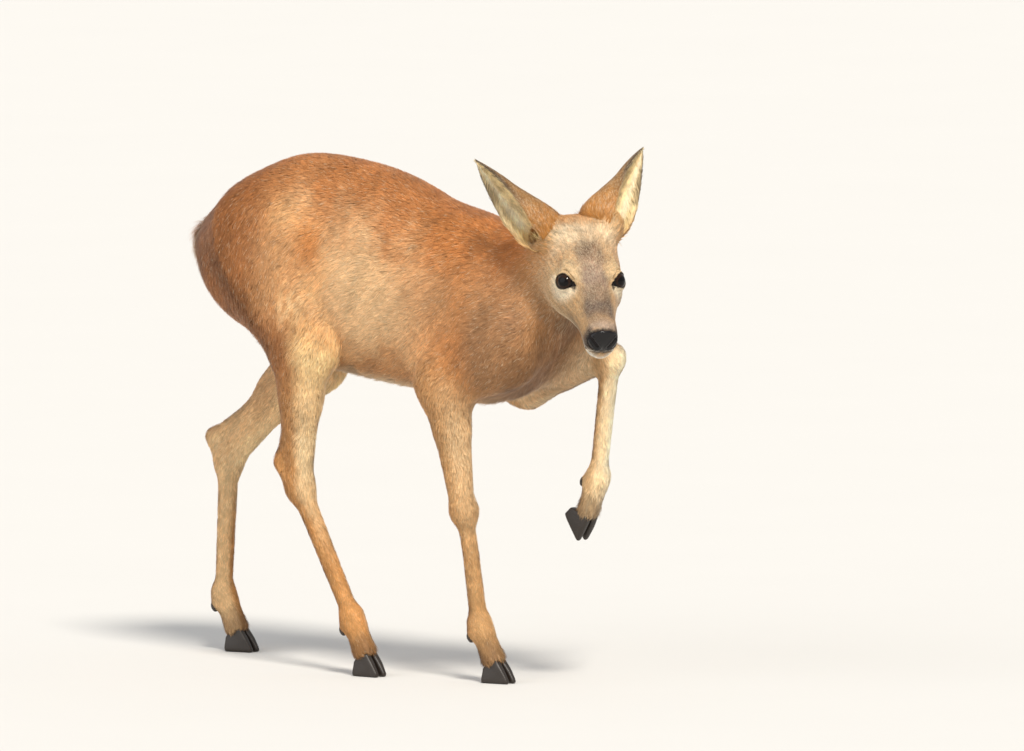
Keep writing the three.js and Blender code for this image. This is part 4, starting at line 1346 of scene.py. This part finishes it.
# ---- Finishes ----
def node(tree, kind, **values):
    """A node with its settings and the values of its inputs."""
    made = tree.nodes.new(kind)
    for key, value in values.items():
        if hasattr(made, key):
            setattr(made, key, value)
        else:
            made.inputs[key.replace("_", " ")].default_value = value
    return made


def grain_group():
    """Fine grain over a colour: darker and lighter flecks, and their height."""
    group = bpy.data.node_groups.new("fine grain", "ShaderNodeTree")
    group.interface.new_socket("Colour", in_out="INPUT", socket_type="NodeSocketColor")
    for name, usual in (("Scale", 400.0), ("Depth", 0.2)):
        group.interface.new_socket(name, in_out="INPUT", socket_type="NodeSocketFloat").default_value = usual
    group.interface.new_socket("Colour", in_out="OUTPUT", socket_type="NodeSocketColor")
    group.interface.new_socket("Height", in_out="OUTPUT", socket_type="NodeSocketFloat")
    given, put = node(group, "NodeGroupInput"), node(group, "NodeGroupOutput")
    where = node(group, "ShaderNodeTexCoord")
    noise_map = node(group, "ShaderNodeTexNoise", Detail=3.0, Roughness=0.6)
    flecks = node(group, "ShaderNodeMath", operation="MULTIPLY_ADD")
    even = node(group, "ShaderNodeMath", operation="MULTIPLY_ADD")
    mixed = node(group, "ShaderNodeMix", data_type="RGBA", blend_type="MULTIPLY")
    link = group.links.new
    link(where.outputs["Object"], noise_map.inputs["Vector"])
    link(given.outputs["Scale"], noise_map.inputs["Scale"])
    link(noise_map.outputs["Fac"], flecks.inputs[0])
    link(given.outputs["Depth"], flecks.inputs[1])
    flecks.inputs[2].default_value = 1.0
    link(given.outputs["Depth"], even.inputs[0])
    even.inputs[1].default_value = -0.5
    link(flecks.outputs[0], even.inputs[2])
    mixed.inputs["Factor"].default_value = 1.0
    link(given.outputs["Colour"], mixed.inputs[6])
    link(even.outputs[0], mixed.inputs[7])
    link(mixed.outputs[2], put.inputs["Colour"])
    link(noise_map.outputs["Fac"], put.inputs["Height"])
    return group


GRAIN = grain_group()


def finish_of(name, scale, depth, bumpy, distance, colour=None, **values):
    """A finish whose colour is the piece's own tones, or one colour, under fine grain."""
    made = bpy.data.materials.new(name)
    made.use_nodes = True
    tree = made.node_tree
    shader = tree.nodes["Principled BSDF"]
    for key, value in values.items():
        shader.inputs[key.replace("_", " ")].default_value = value
    grain = node(tree, "ShaderNodeGroup", node_tree=GRAIN)
    grain.inputs["Scale"].default_value = scale
    grain.inputs["Depth"].default_value = depth
    if colour is None:
        tones = node(tree, "ShaderNodeAttribute", attribute_name="tone")
        tree.links.new(tones.outputs["Color"], grain.inputs["Colour"])
    else:
        grain.inputs["Colour"].default_value = (*tone(colour), 1)
    tree.links.new(grain.outputs["Colour"], shader.inputs["Base Color"])
    if bumpy:
        relief = node(tree, "ShaderNodeBump", Strength=bumpy, Distance=distance)
        tree.links.new(grain.outputs["Height"], relief.inputs["Height"])
        tree.links.new(relief.outputs["Normal"], shader.inputs["Normal"])
    return made


SKIN = finish_of("summer skin", 900.0, 0.35, 0.5, 0.0008, Roughness=0.75, Specular_IOR_Level=0.25)
COAT_SOFT = {"Roughness": 0.58, "Specular_IOR_Level": 0.3, "Sheen_Weight": 0.12, "Sheen_Roughness": 0.4}
COAT = finish_of("summer coat", 260.0, 0.22, 0, 0, **COAT_SOFT)
EYE_WET = {"Roughness": 0.12, "Specular_IOR_Level": 0.08, "Coat_Weight": 0.22, "Coat_Roughness": 0.02}
NOSE_WET = {"Roughness": 0.26, "Specular_IOR_Level": 0.14, "Coat_Weight": 0.45, "Coat_Roughness": 0.04}
EYE_GLOSS = finish_of("wet eye", 500.0, 0.2, 0, 0, **EYE_WET)
WET_NOSE = finish_of("wet nose", 1500.0, 0.5, 0.4, 0.0005, **NOSE_WET)
HORN = finish_of("hoof horn", 700.0, 0.8, 0.35, 0.0005, colour="2b231c", Roughness=0.42)
FLOOR = finish_of("plain floor", 3.0, 0.02, 0, 0, colour="dcdad6", Roughness=0.9, Specular_IOR_Level=0.1)


def piece(name, mesh, finish, slot, *stands_for):
    """Shows a piece, rides it on the body and hides the solids it stands for."""
    thing = show(name, mesh)
    mesh.materials.clear()
    mesh.materials.append(finish)
    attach(thing, "root")
    if stands_for:
        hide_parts(*stands_for)
    return thing


SKIN_SHADE = 0.92
skin, skin_faces = gather_skin()
skin_mesh = build_mesh("skin", to_frame(skin["place"]), skin_faces)
paint(skin_mesh, "tone", skin["tone"] * SKIN_SHADE)
piece("skin", skin_mesh, SKIN, "coat", *FLESH, *EARS)
for number, region_name in enumerate(REGIONS):
    piece(f"coat_{region_name}", grow_coat(number, skin, skin_faces), COAT, "coat")
for side_name, side_sign in (("right", -1), ("left", 1)):
    piece(f"{side_name}_eyeball", make_eye(side_sign), EYE_GLOSS, "eye", f"{side_name}_eye")
piece("nose", make_nose(), WET_NOSE, "nose", "nose_pad")
for claw_name in CLAWS:
    piece(f"horn_{claw_name}", make_claw(claw_name), HORN, "hoof", claw_name)

# ---- Floor, lights and camera ----
FLOOR_HALF = 400.0
floor_corners = np.array([(-1, -1, 0), (1, -1, 0), (1, 1, 0), (-1, 1, 0)]) * FLOOR_HALF
floor = show("floor", build_mesh("floor", floor_corners, np.array([[0, 1, 2, 3]])))
floor.data.materials.append(FLOOR)

# Where the camera stands, how much it takes in, and the place it aims at, in metres.
VIEW_TURN, VIEW_RISE = math.radians(-50), math.radians(5)
VIEW_FAR = 30.0
FRAME_WIDE = 1.33
SENSOR = 36.0
AIM_RIGHT, AIM_UP = 0.1584, 0.385
view_back = np.array(
    [
        math.sin(VIEW_TURN) * math.cos(VIEW_RISE),
        -math.cos(VIEW_TURN) * math.cos(VIEW_RISE),
        math.sin(VIEW_RISE),
    ]
)
view_right = np.array([math.cos(VIEW_TURN), math.sin(VIEW_TURN), 0.0])
view_up = np.cross(view_back, view_right)


def turned(thing, towards):
    thing.rotation_mode = "QUATERNION"
    thing.rotation_quaternion = Vector(towards).to_track_quat("-Z", "Y")


lens = bpy.data.cameras.new("camera")
lens.sensor_width = SENSOR
lens.lens = SENSOR * VIEW_FAR / FRAME_WIDE
lens.clip_start, lens.clip_end = 1.0, 2000.0
camera = show("camera", lens)
camera.location = to_frame((view_right * AIM_RIGHT + view_up * AIM_UP + view_back * VIEW_FAR) / MM)
turned(camera, -view_back)
bpy.context.scene.camera = camera


def sun(name, way, energy, softness, colour):
    """A soft lamp far off, shining from the way given as rightwards, upwards and towards the viewer."""
    lamp = bpy.data.lights.new(name, "SUN")
    lamp.energy, lamp.angle, lamp.color = energy, math.radians(softness), colour
    thing = show(name, lamp)
    turned(thing, -(view_right * way[0] + np.array([0, 0, 1.0]) * way[1] + view_back * way[2]))


SKY = (0.95, 0.97, 1.0)
SKY_STRENGTH = 0.55
sun("key", (0.2, 0.85, 0.75), 3.2, 14, (1.0, 0.95, 0.87))
sun("fill", (-0.8, 0.35, 0.5), 0.9, 60, SKY)
world = bpy.data.worlds.new("studio")
bpy.context.scene.world = world
world.use_nodes = True
sky = world.node_tree.nodes["Background"]
sky.inputs["Color"].default_value = (*SKY, 1)
sky.inputs["Strength"].default_value = SKY_STRENGTH
bpy.context.scene.view_settings.view_transform = "Standard"
